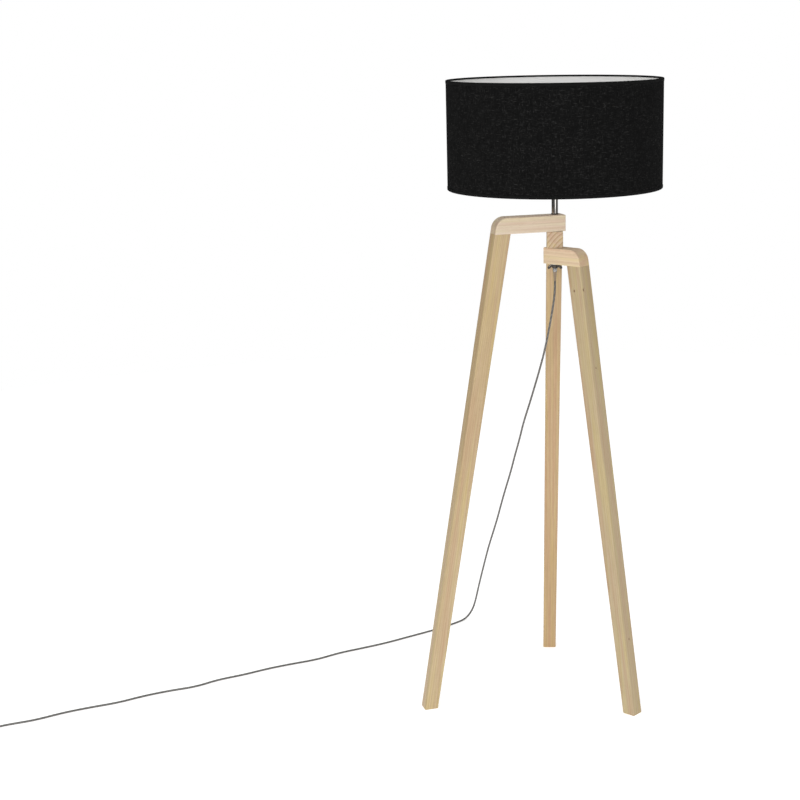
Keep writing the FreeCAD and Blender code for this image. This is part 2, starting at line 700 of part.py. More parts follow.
def make_coil_and_plug():
    centre, leave, heading = coil_frame()
    pile = f"{2 * COIL_LAYERS}*cord_radius"
    coil = sleeve("cord_coil", None, "coil_turn - cord_radius", "coil_turn + 3*cord_radius", pile)
    coil.Placement = FreeCAD.Placement(FreeCAD.Vector(centre.x, centre.y, 0), FreeCAD.Rotation())
    facing = FreeCAD.Rotation(UP, math.degrees(math.atan2(heading.y, heading.x)))
    lie = facing * FreeCAD.Rotation(FreeCAD.Vector(0, 1, 0), 90)
    outer, turn = size("coil_turn") + 3 * size("cord_radius"), size("coil_turn") + 2 * size("cord_radius")
    clear = math.sqrt(outer**2 - turn**2)
    lead = doc.addObject("Part::Cylinder", "plug_lead")
    bind(lead, Radius="cord_radius")
    lead.Height = size("lead_end") - clear
    lead.Placement = FreeCAD.Placement(leave + heading * clear, lie)
    keep(lead, "plug_lead")
    root = leave + heading * size("lead_end")
    make_plug(FreeCAD.Placement(root, facing))


def make_plug(place_at):
    body = new_body("plug_body")
    body.Placement = place_at
    tail = new_sketch(body, "XY_Plane")
    outline(tail, (
        ("0", "-(cord_radius + 0.8)"),
        ("plug_tail", "-plug_width/4"),
        ("plug_tail + plug_length/3", "-plug_width/2"),
        ("plug_tail + plug_length", "-plug_width/2"),
        ("plug_tail + plug_length", "plug_width/2"),
        ("plug_tail + plug_length/3", "plug_width/2"),
        ("plug_tail", "plug_width/4"),
        ("0", "cord_radius + 0.8"),
    ))
    feature(body, "Pad", tail, Length="plug_height").Midplane = True
    front = size("plug_tail") + size("plug_length")
    round_edges(body, "plug_height/5", lambda edge: edge.CenterOfMass.x > size("plug_tail") and
                abs(span(edge)[0].z) < 0.01 and edge.CenterOfMass.x < front - 1)
    pins = []
    for side in (-1, 1):
        pin = doc.addObject("Part::Cylinder", "Pin")
        bind(pin, Radius="pin_radius", Height="pin_length")
        turn = FreeCAD.Rotation(FreeCAD.Vector(0, 1, 0), 90)
        pin.Placement = FreeCAD.Placement(FreeCAD.Vector(front, side * size("pin_pitch") / 2, 0), turn)
        pins.append(pin)
    group("plug_pins", pins, None)
    subparts[-1].Placement = place_at


def check_and_export():
    doc.recompute()
    for item in doc.Objects:
        if any(state in item.State for state in ("Invalid", "Error")):
            raise ValueError(f"{item.Name} ({item.Label}): {item.State}")
    os.makedirs("parts", exist_ok=True)
    for piece in subparts:
        if piece.Shape.isNull() or not piece.Shape.isValid() or not piece.Shape.Solids:
            raise ValueError(f"{piece.Label}: no valid solid")
        piece.Shape.exportStep(f"parts/{piece.Label}.step")
    print(len(subparts), "nodes written")


make_leg("top", "top_arm_level", "tube_fit")
make_leg("middle", MIDDLE_TOP, "swivel_fit")
make_leg("bottom", BOTTOM_TOP, "swivel_fit")
make_clamp()
make_lead_entry()
make_holder_cap()
make_holder_body()
make_switch()
make_bulb()
make_shade()
make_carrier()
make_cord()
make_coil_and_plug()
check_and_export()
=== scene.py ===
import math
import bmesh
import bpy
import numpy as np
from mathutils import Matrix, Vector


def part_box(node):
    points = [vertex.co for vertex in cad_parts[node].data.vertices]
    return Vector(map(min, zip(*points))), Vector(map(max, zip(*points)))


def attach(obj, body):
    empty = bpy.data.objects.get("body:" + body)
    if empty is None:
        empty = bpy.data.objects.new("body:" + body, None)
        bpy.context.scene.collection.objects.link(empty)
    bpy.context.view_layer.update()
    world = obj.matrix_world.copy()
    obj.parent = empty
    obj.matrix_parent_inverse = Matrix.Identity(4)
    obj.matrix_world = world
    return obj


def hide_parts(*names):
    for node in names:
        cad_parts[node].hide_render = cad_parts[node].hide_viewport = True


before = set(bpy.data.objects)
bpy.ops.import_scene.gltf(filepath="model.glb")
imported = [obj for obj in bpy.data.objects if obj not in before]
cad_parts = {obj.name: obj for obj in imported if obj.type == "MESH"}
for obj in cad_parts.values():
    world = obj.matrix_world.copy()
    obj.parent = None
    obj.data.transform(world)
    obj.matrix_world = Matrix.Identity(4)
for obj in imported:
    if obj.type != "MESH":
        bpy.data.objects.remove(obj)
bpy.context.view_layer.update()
print("frame loaded:", len(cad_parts), "nodes")

cameraSet = {
    "place": (0, -3.78533, 1.63754),
    "pan": -3.03, "tilt": 13.284, "roll": -0.85,      # degrees
    "lens": 72.77, "shiftX": -0.09,
}


def makeCamera(s):
    pan, tilt, roll = (math.radians(s[name]) for name in ("pan", "tilt", "roll"))
    ahead = Vector((math.sin(pan) * math.cos(tilt), math.cos(pan) * math.cos(tilt), -math.sin(tilt)))
    level = Vector((math.cos(pan), -math.sin(pan), 0))
    upright = level.cross(ahead)
    right = level * math.cos(roll) + upright * math.sin(roll)
    up = upright * math.cos(roll) - level * math.sin(roll)
    data = bpy.data.cameras.new("camera")
    data.lens, data.shift_x = s["lens"], s["shiftX"]
    data.clip_end = 200
    camera = bpy.data.objects.new("camera", data)
    facing = Matrix((right, up, -ahead)).transposed().to_4x4()
    camera.matrix_world = Matrix.Translation(s["place"]) @ facing
    bpy.context.collection.objects.link(camera)
    bpy.context.scene.camera = camera


makeCamera(cameraSet)
bpy.context.scene.view_settings.view_transform = "Standard"


# A node with its inputs: numbers, colours or other nodes' outputs, by name or by number
def add(tree, kind, inputs=None, **settings):
    node = tree.nodes.new(kind)
    for name, value in settings.items():
        setattr(node, name, value)
    for name, value in (inputs or {}).items():
        socket = node.inputs[name]
        if isinstance(value, bpy.types.NodeSocket):
            tree.links.new(value, socket)
        else:
            socket.default_value = value
    return node


def calc(tree, operation, a, b=0.0, c=0.0, clamp=False):
    inputs = {0: a, 1: b, 2: c}
    return add(tree, "ShaderNodeMath", inputs, operation=operation, use_clamp=clamp).outputs[0]


def vectorCalc(tree, operation, a, b=(0, 0, 0)):
    node = add(tree, "ShaderNodeVectorMath", {0: a, 1: b}, operation=operation)
    return node.outputs[1 if operation in ("DISTANCE", "LENGTH", "DOT_PRODUCT") else 0]


def mixColour(tree, factor, a, b, blend="MIX"):
    inputs = {0: factor, 6: a, 7: b}
    return add(tree, "ShaderNodeMix", inputs, data_type="RGBA", blend_type=blend).outputs[2]


def remap(tree, value, low, high, toLow=0.0, toHigh=1.0, smooth=False):
    inputs = {0: value, 1: low, 2: high, 3: toLow, 4: toHigh}
    kind = "SMOOTHSTEP" if smooth else "LINEAR"
    return add(tree, "ShaderNodeMapRange", inputs, interpolation_type=kind).outputs[0]


def noise(tree, vector, scale, detail=2.0, roughness=0.5, distortion=0.0):
    inputs = {"Vector": vector, "Scale": scale, "Detail": detail, "Roughness": roughness,
              "Distortion": distortion}
    return add(tree, "ShaderNodeTexNoise", inputs).outputs[0]


def ramp(tree, factor, stops):
    node = add(tree, "ShaderNodeValToRGB", {0: factor})
    elements = node.color_ramp.elements
    while len(elements) < len(stops):
        elements.new(1.0)
    for element, (place, colour) in zip(elements, stops):
        element.position, element.color = place, colour
    return node.outputs[0]


def grey(value):
    return (value, value, value, 1)


def tint(colour, by=1.0):
    return tuple(part * by for part in colour) + (1,)


lightSet = {
    "ambient": 0.63,                       # soft light from all sides
    "key": {"place": (-0.9, -4.4, 2.0), "aim": (0, 0, 0.8), "size": 1.8, "power": 80},
    "fill": {"place": (1.6, -4.2, 1.2), "aim": (0, 0, 0.6), "size": 2.0, "power": 15},
    # the studio as polished metal sees it, once round from behind over the left: angle, strength
    "bands": (
        (-180, 0.02), (-92, 0.01), (-84, 0.13), (-50, 0.16), (-42, 0.02), (-6, 0.02),
        (2, 0.85), (36, 0.85), (44, 0.12), (90, 0.12), (105, 0.22), (180, 0.22),
    ),
}


def makeLight(name, s):
    data = bpy.data.lights.new(name, "AREA")
    data.shape, data.size, data.energy = "DISK", s["size"], s["power"]
    lamp = bpy.data.objects.new(name, data)
    away = Vector(s["place"]) - Vector(s["aim"])
    lamp.matrix_world = Matrix.Translation(s["place"]) @ away.to_track_quat("Z", "Y").to_matrix().to_4x4()
    bpy.context.collection.objects.link(lamp)


def makeStudio(s):
    world = bpy.data.worlds.new("studio")
    world.use_nodes = True
    tree = world.node_tree
    tree.nodes.clear()
    rays = add(tree, "ShaderNodeLightPath")
    where = add(tree, "ShaderNodeSeparateXYZ", {0: add(tree, "ShaderNodeTexCoord").outputs["Generated"]})
    backwards = calc(tree, "MULTIPLY", where.outputs[1], -1.0)
    heading = calc(tree, "ARCTAN2", where.outputs[0], backwards)
    share = remap(tree, heading, -math.pi, math.pi)
    bands = ramp(tree, share, [(0.5 + angle / 360, grey(value)) for angle, value in s["bands"]])
    upDown = remap(tree, where.outputs[2], 0.25, 0.8, smooth=True)
    bands = mixColour(tree, upDown, bands, grey(0.9))
    soft = add(tree, "ShaderNodeBackground", {0: grey(1.0), 1: s["ambient"]})
    shown = add(tree, "ShaderNodeBackground", {0: grey(1.0), 1: 1.0})
    mirrored = add(tree, "ShaderNodeBackground", {0: bands, 1: 1.0})
    first = add(tree, "ShaderNodeMixShader", {0: rays.outputs["Is Glossy Ray"], 1: soft.outputs[0],
        2: mirrored.outputs[0]})
    last = add(tree, "ShaderNodeMixShader", {0: rays.outputs["Is Camera Ray"], 1: first.outputs[0],
        2: shown.outputs[0]})
    add(tree, "ShaderNodeOutputWorld", {0: last.outputs[0]})
    bpy.context.scene.world = world
    makeLight("keyLight", s["key"])
    makeLight("fillLight", s["fill"])


makeStudio(lightSet)


# A grid of points (rows, columns, 3) as a closed skin. A row whose points all meet closes to one point.
def gridPiece(name, points, wrapRows=False, wrapColumns=True, rowUv=None, columnUv=None, crease=40):
    rows, columns = points.shape[:2]
    i = np.arange(rows if wrapRows else rows - 1)[:, None]
    j = np.arange(columns if wrapColumns else columns - 1)[None, :]
    iNext, jNext = (i + 1) % rows, (j + 1) % columns
    corners = ((i, j), (iNext, j), (iNext, jNext), (i, jNext))
    faces = np.stack([a * columns + b for a, b in corners], -1).reshape(-1, 4)
    mesh = bpy.data.meshes.new(name)
    mesh.from_pydata(points.reshape(-1, 3).tolist(), [], faces.tolist())
    if rowUv is not None:
        v = np.stack([rowUv[a] + 0 * j for a in (i, i + 1, i + 1, i)], -1)
        u = np.stack([columnUv[b] + 0 * i for b in (j, j, j + 1, j + 1)], -1)
        layer = mesh.uv_layers.new(name="UVMap")
        layer.data.foreach_set("uv", np.stack((u, v), -1).astype(np.float32).ravel())
    return finishMesh(name, mesh, crease)


def finishMesh(name, mesh, crease=40):
    work = bmesh.new()
    work.from_mesh(mesh)
    bmesh.ops.remove_doubles(work, verts=work.verts, dist=1e-6)
    bmesh.ops.recalc_face_normals(work, faces=work.faces)
    work.to_mesh(mesh)
    work.free()
    mesh.shade_smooth()
    mesh.set_sharp_from_angle(angle=math.radians(crease))
    piece = bpy.data.objects.new(name, mesh)
    bpy.context.collection.objects.link(piece)
    return piece


# Corners (a, b, rounding): a rounded corner becomes an arc of that radius that touches both of its sides
def softOutline(corners, closed=True, steps=6):
    out = []
    for n, (a, b, rounding) in enumerate(corners):
        here = np.array((a, b), float)
        if rounding <= 0 or (not closed and n in (0, len(corners) - 1)):
            out.append(here)
            continue
        back = np.array(corners[n - 1][:2]) - here
        ahead = np.array(corners[(n + 1) % len(corners)][:2]) - here
        back, ahead = back / np.linalg.norm(back), ahead / np.linalg.norm(ahead)
        half = math.acos(np.clip(back @ ahead, -1, 1)) / 2
        middle = (back + ahead) / np.linalg.norm(back + ahead)
        centre = here + middle * rounding / math.sin(half)
        start, end = (here + side * rounding / math.tan(half) - centre for side in (back, ahead))
        angle = math.pi - 2 * half
        t = np.linspace(0, 1, steps + 1)[:, None]
        out.extend(centre + (np.sin((1 - t) * angle) * start + np.sin(t * angle) * end) / math.sin(angle))
    return np.array(out)


# An outline of (radius, height) carried round an axis. swell(turn, radius, height) adds to the radius.
def turned(name, outline, closed=False, segments=96, at=(0, 0, 0), axis=None, swell=None, crease=40):
    turn = np.linspace(0, 2 * np.pi, segments, endpoint=False)[None, :]
    radius, height = outline[:, :1], outline[:, 1:]
    wide = radius + (swell(turn, radius, height) if swell else 0 * turn)
    points = np.stack((wide * np.cos(turn), wide * np.sin(turn), height + 0 * turn), -1)
    if axis is not None:
        points = points @ np.array(Vector(axis).to_track_quat("Z", "X").to_matrix()).T
    points = points + np.array(at)
    steps = np.linalg.norm(np.diff(outline, axis=0, append=outline[:1]), axis=1)
    along = np.concatenate(([0], np.cumsum(steps)))
    rowUv = along if closed else along[:-1]
    columnUv = np.linspace(0, 2 * np.pi, segments + 1) * outline[:, 0].max()
    return gridPiece(name, points, closed, True, rowUv, columnUv, crease)


# A round section carried along a line of points, closed at both ends: centre + radius * (side * cos +
# up * sin). lean is the direction, one for each point, that a section's side is square to.
def tube(name, line, radius, lean, around=12, closed=False, crease=60):
    line = np.asarray(line, float)
    if closed:
        ahead = np.roll(line, -1, 0) - np.roll(line, 1, 0)
    else:
        ahead = np.gradient(line, axis=0)
    ahead /= np.linalg.norm(ahead, axis=1)[:, None]
    side = np.cross(ahead, lean)
    side /= np.linalg.norm(side, axis=1)[:, None]
    up = np.cross(side, ahead)
    radius = np.broadcast_to(radius, len(line))[:, None, None]
    turn = np.linspace(0, 2 * np.pi, around, endpoint=False)[None, :, None]
    points = line[:, None] + radius * (side[:, None] * np.cos(turn) + up[:, None] * np.sin(turn))
    steps = np.linalg.norm(np.diff(line, axis=0, append=line[:1]), axis=1)
    along = np.concatenate(([0], np.cumsum(steps)))
    columnUv = np.linspace(0, 1, around + 1)
    if closed:
        return gridPiece(name, points, True, True, along, columnUv, crease)
    ends = [np.repeat(line[n][None, None], around, 1) for n in (0, -1)]
    points = np.concatenate((ends[0], points, ends[1]), 0)
    rowUv = np.concatenate(([0], along[:-1], along[-2:-1]))
    return gridPiece(name, points, False, True, rowUv, columnUv, crease)


cordSet = {
    "radius": 0.0025, "length": 3.20,
    "coilTurn": 0.027, "coilTurns": 3.25, "stepsPerTurn": 24, "leadEnd": 0.022,
    "route": (
        (0, 0, 1.0315), (0, 0, 1.006), (-.005, .012, .966), (-.014, .031, .912),
        (-.024, .052, .858), (-.037, .076, .804), (-.051, .102, .751), (-.065, .130, .699),
        (-.080, .158, .647), (-.091, .187, .596), (-.104, .215, .545), (-.116, .243, .493),
        (-.130, .270, .442), (-.143, .299, .391), (-.155, .329, .340), (-.169, .359, .289),
        (-.183, .388, .238), (-.195, .416, .186), (-.207, .443, .134), (-.217, .467, .088),
        (-.224, .484, .054), (-.232, .492, .026), (-.244, .484, .008), (-.257, .464, .0025),
        (-.274, .443, .0025), (-.298, .418, .0025), (-.343, .377, .0025), (-.398, .335, .0025),
        (-.454, .290, .0025), (-.514, .252, .0025), (-.575, .216, .0025), (-.627, .170, .0025),
        (-.688, .140, .0025), (-.748, .106, .0025), (-.802, .066, .0025), (-.862, .033, .0025),
        (-.909, -.012, .0025), (-.970, -.038, .0025), (-1.029, -.072, .0025),
        (-1.082, -.113, .0025), (-1.143, -.142, .0025), (-1.203, -.176, .0025),
        (-1.258, -.219, .0025), (-1.320, -.247, .0025), (-1.368, -.279, .0025),
        (-1.402, -.300, .0025),
    ),
}


# The coil's points, turn after turn: the first on the floor outside, the second inside it, the third on top
def coilPoints(s):
    before, touch = (Vector(point) for point in s["route"][-2:])
    along = (touch - before).normalized()
    outer, inner, rise = s["coilTurn"] + 2 * s["radius"], s["coilTurn"], 2 * s["radius"]
    centre = touch + Vector((along.y, -along.x, 0)) * outer
    step = 1 / s["stepsPerTurn"]
    swell = 1 / math.cos(math.pi * step)               # the spline cuts inside its points by this much

    def ease(t, start, end):
        share = min(max((t - start) / (end - start), 0), 1)
        return share * share * (3 - 2 * share)

    points = []
    for n in range(1, round(s["coilTurns"] / step) + 1):
        t = n * step
        reach = outer + (inner - outer) * (ease(t, 0.8, 1.0) - ease(t, 2.45, 2.7))
        arm = (touch - centre).normalized() * reach * (swell if t < s["coilTurns"] else 1)
        arm.rotate(Matrix.Rotation(-2 * math.pi * t, 3, "Z"))
        points.append(centre + arm + Vector((0, 0, rise * ease(t, 1.55, 1.85))))
    along.rotate(Matrix.Rotation(-2 * math.pi * s["coilTurns"], 3, "Z"))
    return centre, points, along, points[-1] + along * s["leadEnd"]


# The line through the route's points: a NURBS spline, read back as a close row of points
def splineLine(points, resolution=8):
    curve = bpy.data.curves.new("cordRoute", "CURVE")
    curve.dimensions = "3D"
    spline = curve.splines.new("NURBS")
    spline.points.add(len(points) - 1)
    spline.points.foreach_set("co", np.c_[np.array(points, float), np.ones(len(points))].ravel())
    spline.order_u = 3
    spline.use_endpoint_u = True
    spline.resolution_u = resolution
    holder = bpy.data.objects.new("cordRoute", curve)
    mesh = bpy.data.meshes.new_from_object(holder)
    line = np.empty(len(mesh.vertices) * 3)
    mesh.vertices.foreach_get("co", line)
    bpy.data.objects.remove(holder)
    bpy.data.curves.remove(curve)
    bpy.data.meshes.remove(mesh)
    return line.reshape(-1, 3)


coilCentre, turns, plugHeading, plugRoot = coilPoints(cordSet)
cordLine = splineLine([Vector(point) for point in cordSet["route"]] + turns + [plugRoot])
keepSteps = np.concatenate(([True], np.linalg.norm(np.diff(cordLine, axis=0), axis=1) > 1e-5))
cordLine = cordLine[keepSteps]
onFloor = np.clip((0.4 - cordLine[:, 2]) / 0.35, 0, 1)[:, None]
cordLean = np.array((-1.0, 0, 0)) * (1 - onFloor) + np.array((0, 0, 1.0)) * onFloor
cord = tube("cord_lead", cordLine, cordSet["radius"], cordLean)
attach(cord, "stand")
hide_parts("cord", "cord_coil", "plug_lead")
print("cord:", round(float(np.linalg.norm(np.diff(cordLine, axis=0), axis=1).sum()), 3), "m")

floorSet = {"radius": 4.2, "sides": 96}
floorMesh = bpy.data.meshes.new("floor")
rim = np.linspace(0, 2 * np.pi, floorSet["sides"], endpoint=False)
rimPoints = floorSet["radius"] * np.stack((np.cos(rim), np.sin(rim), 0 * rim), -1)
floorMesh.from_pydata(rimPoints.tolist(), [], [tuple(range(floorSet["sides"]))])
floor = bpy.data.objects.new("floor", floorMesh)
bpy.context.collection.objects.link(floor)


def begin(name, **sockets):
    material = bpy.data.materials.new(name)
    material.use_nodes = True
    tree = material.node_tree
    shader = tree.nodes["Principled BSDF"]
    for socket, value in sockets.items():
        shader.inputs[socket.replace("_", " ")].default_value = value
    return material, tree, shader


def textureSpace(tree, kind="Object"):
    return add(tree, "ShaderNodeTexCoord").outputs[kind]


def relief(tree, shader, height, distance, strength=1.0):
    bump = add(tree, "ShaderNodeBump", {"Strength": strength, "Distance": distance, "Height": height})
    tree.links.new(bump.outputs[0], shader.inputs["Normal"])


def drive(tree, shader, **sockets):
    for socket, value in sockets.items():
        tree.links.new(value, shader.inputs[socket.replace("_", " ")])


# Wood: growth rings round a line beside the piece, fibres and pores drawn out along it, darker ends, knots
def makeWood(name, s, middle, grain, ringsAt, seed, tone, knots=()):
    material, tree, shader = begin(name, Roughness=0.5, Coat_Weight=0.06, Coat_Roughness=0.35,
        Specular_IOR_Level=0.35)
    turn = Vector(grain).to_track_quat("Z", "X").to_euler()
    place = textureSpace(tree)
    local = add(tree, "ShaderNodeMapping", {"Vector": place, "Location": middle, "Rotation": turn},
        vector_type="TEXTURE").outputs[0]
    shifted = vectorCalc(tree, "ADD", local, (seed * 1.7, seed * 0.9, seed * 0.37))
    drawn = vectorCalc(tree, "MULTIPLY", shifted, (1, 1, s["drawnOut"]))
    fibres = vectorCalc(tree, "MULTIPLY", shifted, (1, 1, 0.012))

    wander = noise(tree, drawn, 16, 3)
    fromHeart = vectorCalc(tree, "MULTIPLY", vectorCalc(tree, "ADD", local, (ringsAt[0], ringsAt[1], 0)),
        (1, 1, 0.02))
    radius = vectorCalc(tree, "LENGTH", fromHeart)
    radius = calc(tree, "ADD", radius, calc(tree, "MULTIPLY", wander, s["wander"]))
    knotMask = None
    for knotAt, size in knots:
        apart = vectorCalc(tree, "SUBTRACT", place, knotAt)
        apart = add(tree, "ShaderNodeMapping", {"Vector": apart, "Rotation": turn},
            vector_type="TEXTURE").outputs[0]
        far = vectorCalc(tree, "LENGTH", vectorCalc(tree, "MULTIPLY", apart, (1, 1, 0.7)))
        near = remap(tree, far, 0, size * 4, 1, 0, smooth=True)
        radius = calc(tree, "ADD", radius, calc(tree, "MULTIPLY", near, size * 1.6))
        core = remap(tree, far, size * 0.75, size * 1.25, 1, 0, smooth=True)
        knotMask = core if knotMask is None else calc(tree, "MAXIMUM", knotMask, core)
    ring = calc(tree, "FRACT", calc(tree, "DIVIDE", radius, s["ringPitch"]))
    ringStops = ((0, 0), (0.55, 0.18), (0.86, 0.75), (0.94, 1), (1, 0))
    late = ramp(tree, ring, [(share, grey(value)) for share, value in ringStops])

    broad = noise(tree, drawn, 9, 2)
    pale, warm = ([part * by for part, by in zip(s[shade], tone)] for shade in ("pale", "warm"))
    colour = mixColour(tree, remap(tree, broad, 0.3, 0.7), tint(pale), tint(warm))
    facing = vectorCalc(tree, "DOT_PRODUCT", textureSpace(tree, "Normal"), Vector(grain).normalized()[:])
    endGrain = remap(tree, calc(tree, "ABSOLUTE", facing), 0.6, 0.92, smooth=True)
    ringDepth = calc(tree, "ADD", s["ringDepth"], calc(tree, "MULTIPLY", endGrain, s["endDepth"]))
    colour = mixColour(tree, calc(tree, "MULTIPLY", late, ringDepth), colour, tint(s["ringColour"]))
    streaks = noise(tree, vectorCalc(tree, "MULTIPLY", shifted, (1, 1, 0.03)), 95, 2)
    colour = mixColour(tree, remap(tree, streaks, 0.46, 0.66, 0, s["streakDepth"]), colour,
        tint(s["rosy"]), "MULTIPLY")
    colour = mixColour(tree, remap(tree, streaks, 0.54, 0.34, 0, s["streakDepth"]), colour,
        tint(s["golden"]), "MULTIPLY")
    fine = noise(tree, fibres, 1500, 2, 0.6)
    colour = mixColour(tree, remap(tree, fine, 0.35, 0.65, 0, s["fibreDepth"]), colour,
        tint(s["fibreColour"]), "MULTIPLY")
    poreSpots = noise(tree, vectorCalc(tree, "MULTIPLY", shifted, (1, 1, 0.05)), 2400, 1)
    pores = remap(tree, poreSpots, 0.68, 0.76)
    colour = mixColour(tree, calc(tree, "MULTIPLY", pores, s["poreDepth"]), colour, tint(s["poreColour"]))
    colour = mixColour(tree, endGrain, colour, tint(s["endColour"]), "MULTIPLY")
    if knotMask is not None:
        speck = noise(tree, place, 900, 2)
        knotTone = mixColour(tree, speck, tint(s["knotColour"]), tint(s["knotColour"], 0.55))
        colour = mixColour(tree, calc(tree, "MULTIPLY", knotMask, 0.85), colour, knotTone)
    rough = remap(tree, fine, 0.3, 0.7, s["rough"][0], s["rough"][1])
    height = calc(tree, "SUBTRACT", calc(tree, "MULTIPLY", fine, 0.5),
        calc(tree, "ADD", calc(tree, "MULTIPLY", late, 0.35), pores))
    drive(tree, shader, Base_Color=colour, Roughness=rough)
    relief(tree, shader, height, s["relief"])
    return material


# Any even finish: a colour that drifts a little, a grain in roughness and surface, marks from its making
def makeFinish(name, s):
    material, tree, shader = begin(name, Metallic=s.get("metal", 0.0), **s.get("sockets", {}))
    place = textureSpace(tree)
    drift = remap(tree, noise(tree, place, s.get("driftScale", 40), 3), 0.3, 0.7)
    vary = s.get("vary", 0.12)
    colour = mixColour(tree, drift, tint(s["colour"], 1 - vary), tint(s["colour"], 1 + vary))
    stretched = vectorCalc(tree, "MULTIPLY", place, s.get("stretch", (1, 1, 1)))
    speckle = noise(tree, stretched, s["grainScale"], 3, 0.6)
    height = speckle
    if "rings" in s:                                     # lathe marks round an upright line
        centre, pitch = s["rings"]
        apart = vectorCalc(tree, "MULTIPLY", vectorCalc(tree, "SUBTRACT", place, centre), (1, 1, 0))
        phase = calc(tree, "MULTIPLY", vectorCalc(tree, "LENGTH", apart), 2 * math.pi / pitch)
        marks = calc(tree, "SINE", phase)
        height = calc(tree, "ADD", calc(tree, "MULTIPLY", marks, 0.5), speckle)
    if "flecks" in s:                                    # sparse spots in another colour: scale, threshold, colour
        scale, level, fleck = s["flecks"]
        spots = remap(tree, noise(tree, place, scale, 4, 0.7), level, level + 0.05)
        colour = mixColour(tree, spots, colour, tint(fleck))
    low, high = s["rough"]
    drive(tree, shader, Base_Color=colour, Roughness=remap(tree, height, 0.3, 0.7, low, high))
    relief(tree, shader, height, s["relief"])
    return material


# Plain-woven linen over UV in metres: each cell shows the thread on top, warp or weft, in its own tone, and
# the hollows between threads carry painted shade
def makeLinen(name, s):
    material, tree, shader = begin(name, Roughness=1.0, Specular_IOR_Level=0.04)
    uv = textureSpace(tree, "UV")
    parts = add(tree, "ShaderNodeSeparateXYZ", {0: uv}).outputs
    waver = calc(tree, "MULTIPLY", calc(tree, "SUBTRACT", noise(tree, uv, 45, 2), 0.5), s["waver"])
    across = calc(tree, "DIVIDE", calc(tree, "ADD", parts[0], waver), s["pitch"])
    up = calc(tree, "DIVIDE", calc(tree, "ADD", parts[1], waver), s["pitch"])
    warp = calc(tree, "ABSOLUTE", calc(tree, "SINE", calc(tree, "MULTIPLY", across, math.pi)))
    weft = calc(tree, "ABSOLUTE", calc(tree, "SINE", calc(tree, "MULTIPLY", up, math.pi)))
    warpCell, weftCell = calc(tree, "FLOOR", across), calc(tree, "FLOOR", up)
    turnAbout = calc(tree, "FLOORED_MODULO", calc(tree, "ADD", warpCell, weftCell), 2.0)

    def threadTone(cell, length, offset):                # a thread's own tone, changing slowly along it
        apart, along = calc(tree, "MULTIPLY", cell, 3.71), calc(tree, "MULTIPLY", length, s["slub"])
        row = add(tree, "ShaderNodeCombineXYZ", {0: apart, 1: along, 2: offset})
        return noise(tree, row.outputs[0], 1.0, 2, 0.7)

    warpTone, weftTone = threadTone(warpCell, parts[1], 0.0), threadTone(weftCell, parts[0], 9.0)
    tone = add(tree, "ShaderNodeMix", {0: turnAbout, 2: warpTone, 3: weftTone}).outputs[0]
    warpTop = calc(tree, "MULTIPLY", warp, calc(tree, "POWER", weft, 0.3))
    weftTop = calc(tree, "MULTIPLY", weft, calc(tree, "POWER", warp, 0.3))
    height = add(tree, "ShaderNodeMix", {0: turnAbout, 2: warpTop, 3: weftTop}).outputs[0]
    colour = mixColour(tree, remap(tree, tone, 0.32, 0.70), tint(s["dark"]), tint(s["mid"]))
    slubs = calc(tree, "MAXIMUM", remap(tree, warpTone, 0.60, 0.72), remap(tree, weftTone, 0.58, 0.70))
    colour = mixColour(tree, calc(tree, "MULTIPLY", slubs, s["slubDepth"]), colour, tint(s["light"]))
    # painted shade: darker where the threads dip under each other, in the hollows of the weave
    colour = mixColour(tree, remap(tree, height, 0.0, 0.8, 0.75, 0.0), colour, tint(s["dark"], 0.35))
    cloudy = noise(tree, uv, 22, 3)
    colour = mixColour(tree, remap(tree, cloudy, 0.3, 0.7, 0, 0.25), colour, tint(s["dark"]))
    drive(tree, shader, Base_Color=colour)
    relief(tree, shader, calc(tree, "ADD", height, calc(tree, "MULTIPLY", tone, 0.4)), s["pitch"] * 0.35)
    return material


# Bias binding over UV in metres: fine slanted ribs both ways and a little fuzz, the ribs also painted as
# light and shade in the colour
def makeBinding(name, s):
    material, tree, shader = begin(name, Roughness=0.8, Specular_IOR_Level=0.06)
    uv = textureSpace(tree, "UV")
    parts = add(tree, "ShaderNodeSeparateXYZ", {0: uv}).outputs
    slant = calc(tree, "ADD", parts[0], parts[1])
    counter = calc(tree, "SUBTRACT", parts[0], parts[1])
    ribs = calc(tree, "SINE", calc(tree, "MULTIPLY", slant, 2 * math.pi / s["pitch"]))
    cross = calc(tree, "SINE", calc(tree, "MULTIPLY", counter, 2 * math.pi / s["pitch"]))
    height = calc(tree, "MULTIPLY", ribs, cross)
    fuzz = noise(tree, uv, 1800, 3, 0.7)
    # the colour follows the fuzz, the tape's own tone, and the ribs: painted shade in the rib hollows,
    # painted light on their crests
    ribShadeAndFuzz = calc(tree, "ADD", calc(tree, "MULTIPLY", height, 0.25), fuzz)
    colour = mixColour(tree, remap(tree, ribShadeAndFuzz, 0.2, 0.8), tint(s["dark"]), tint(s["mid"]))
    drive(tree, shader, Base_Color=colour, Roughness=remap(tree, fuzz, 0.3, 0.7, 0.7, 0.92))
    relief(tree, shader, calc(tree, "ADD", height, fuzz), s["pitch"] * 0.25)
    return material


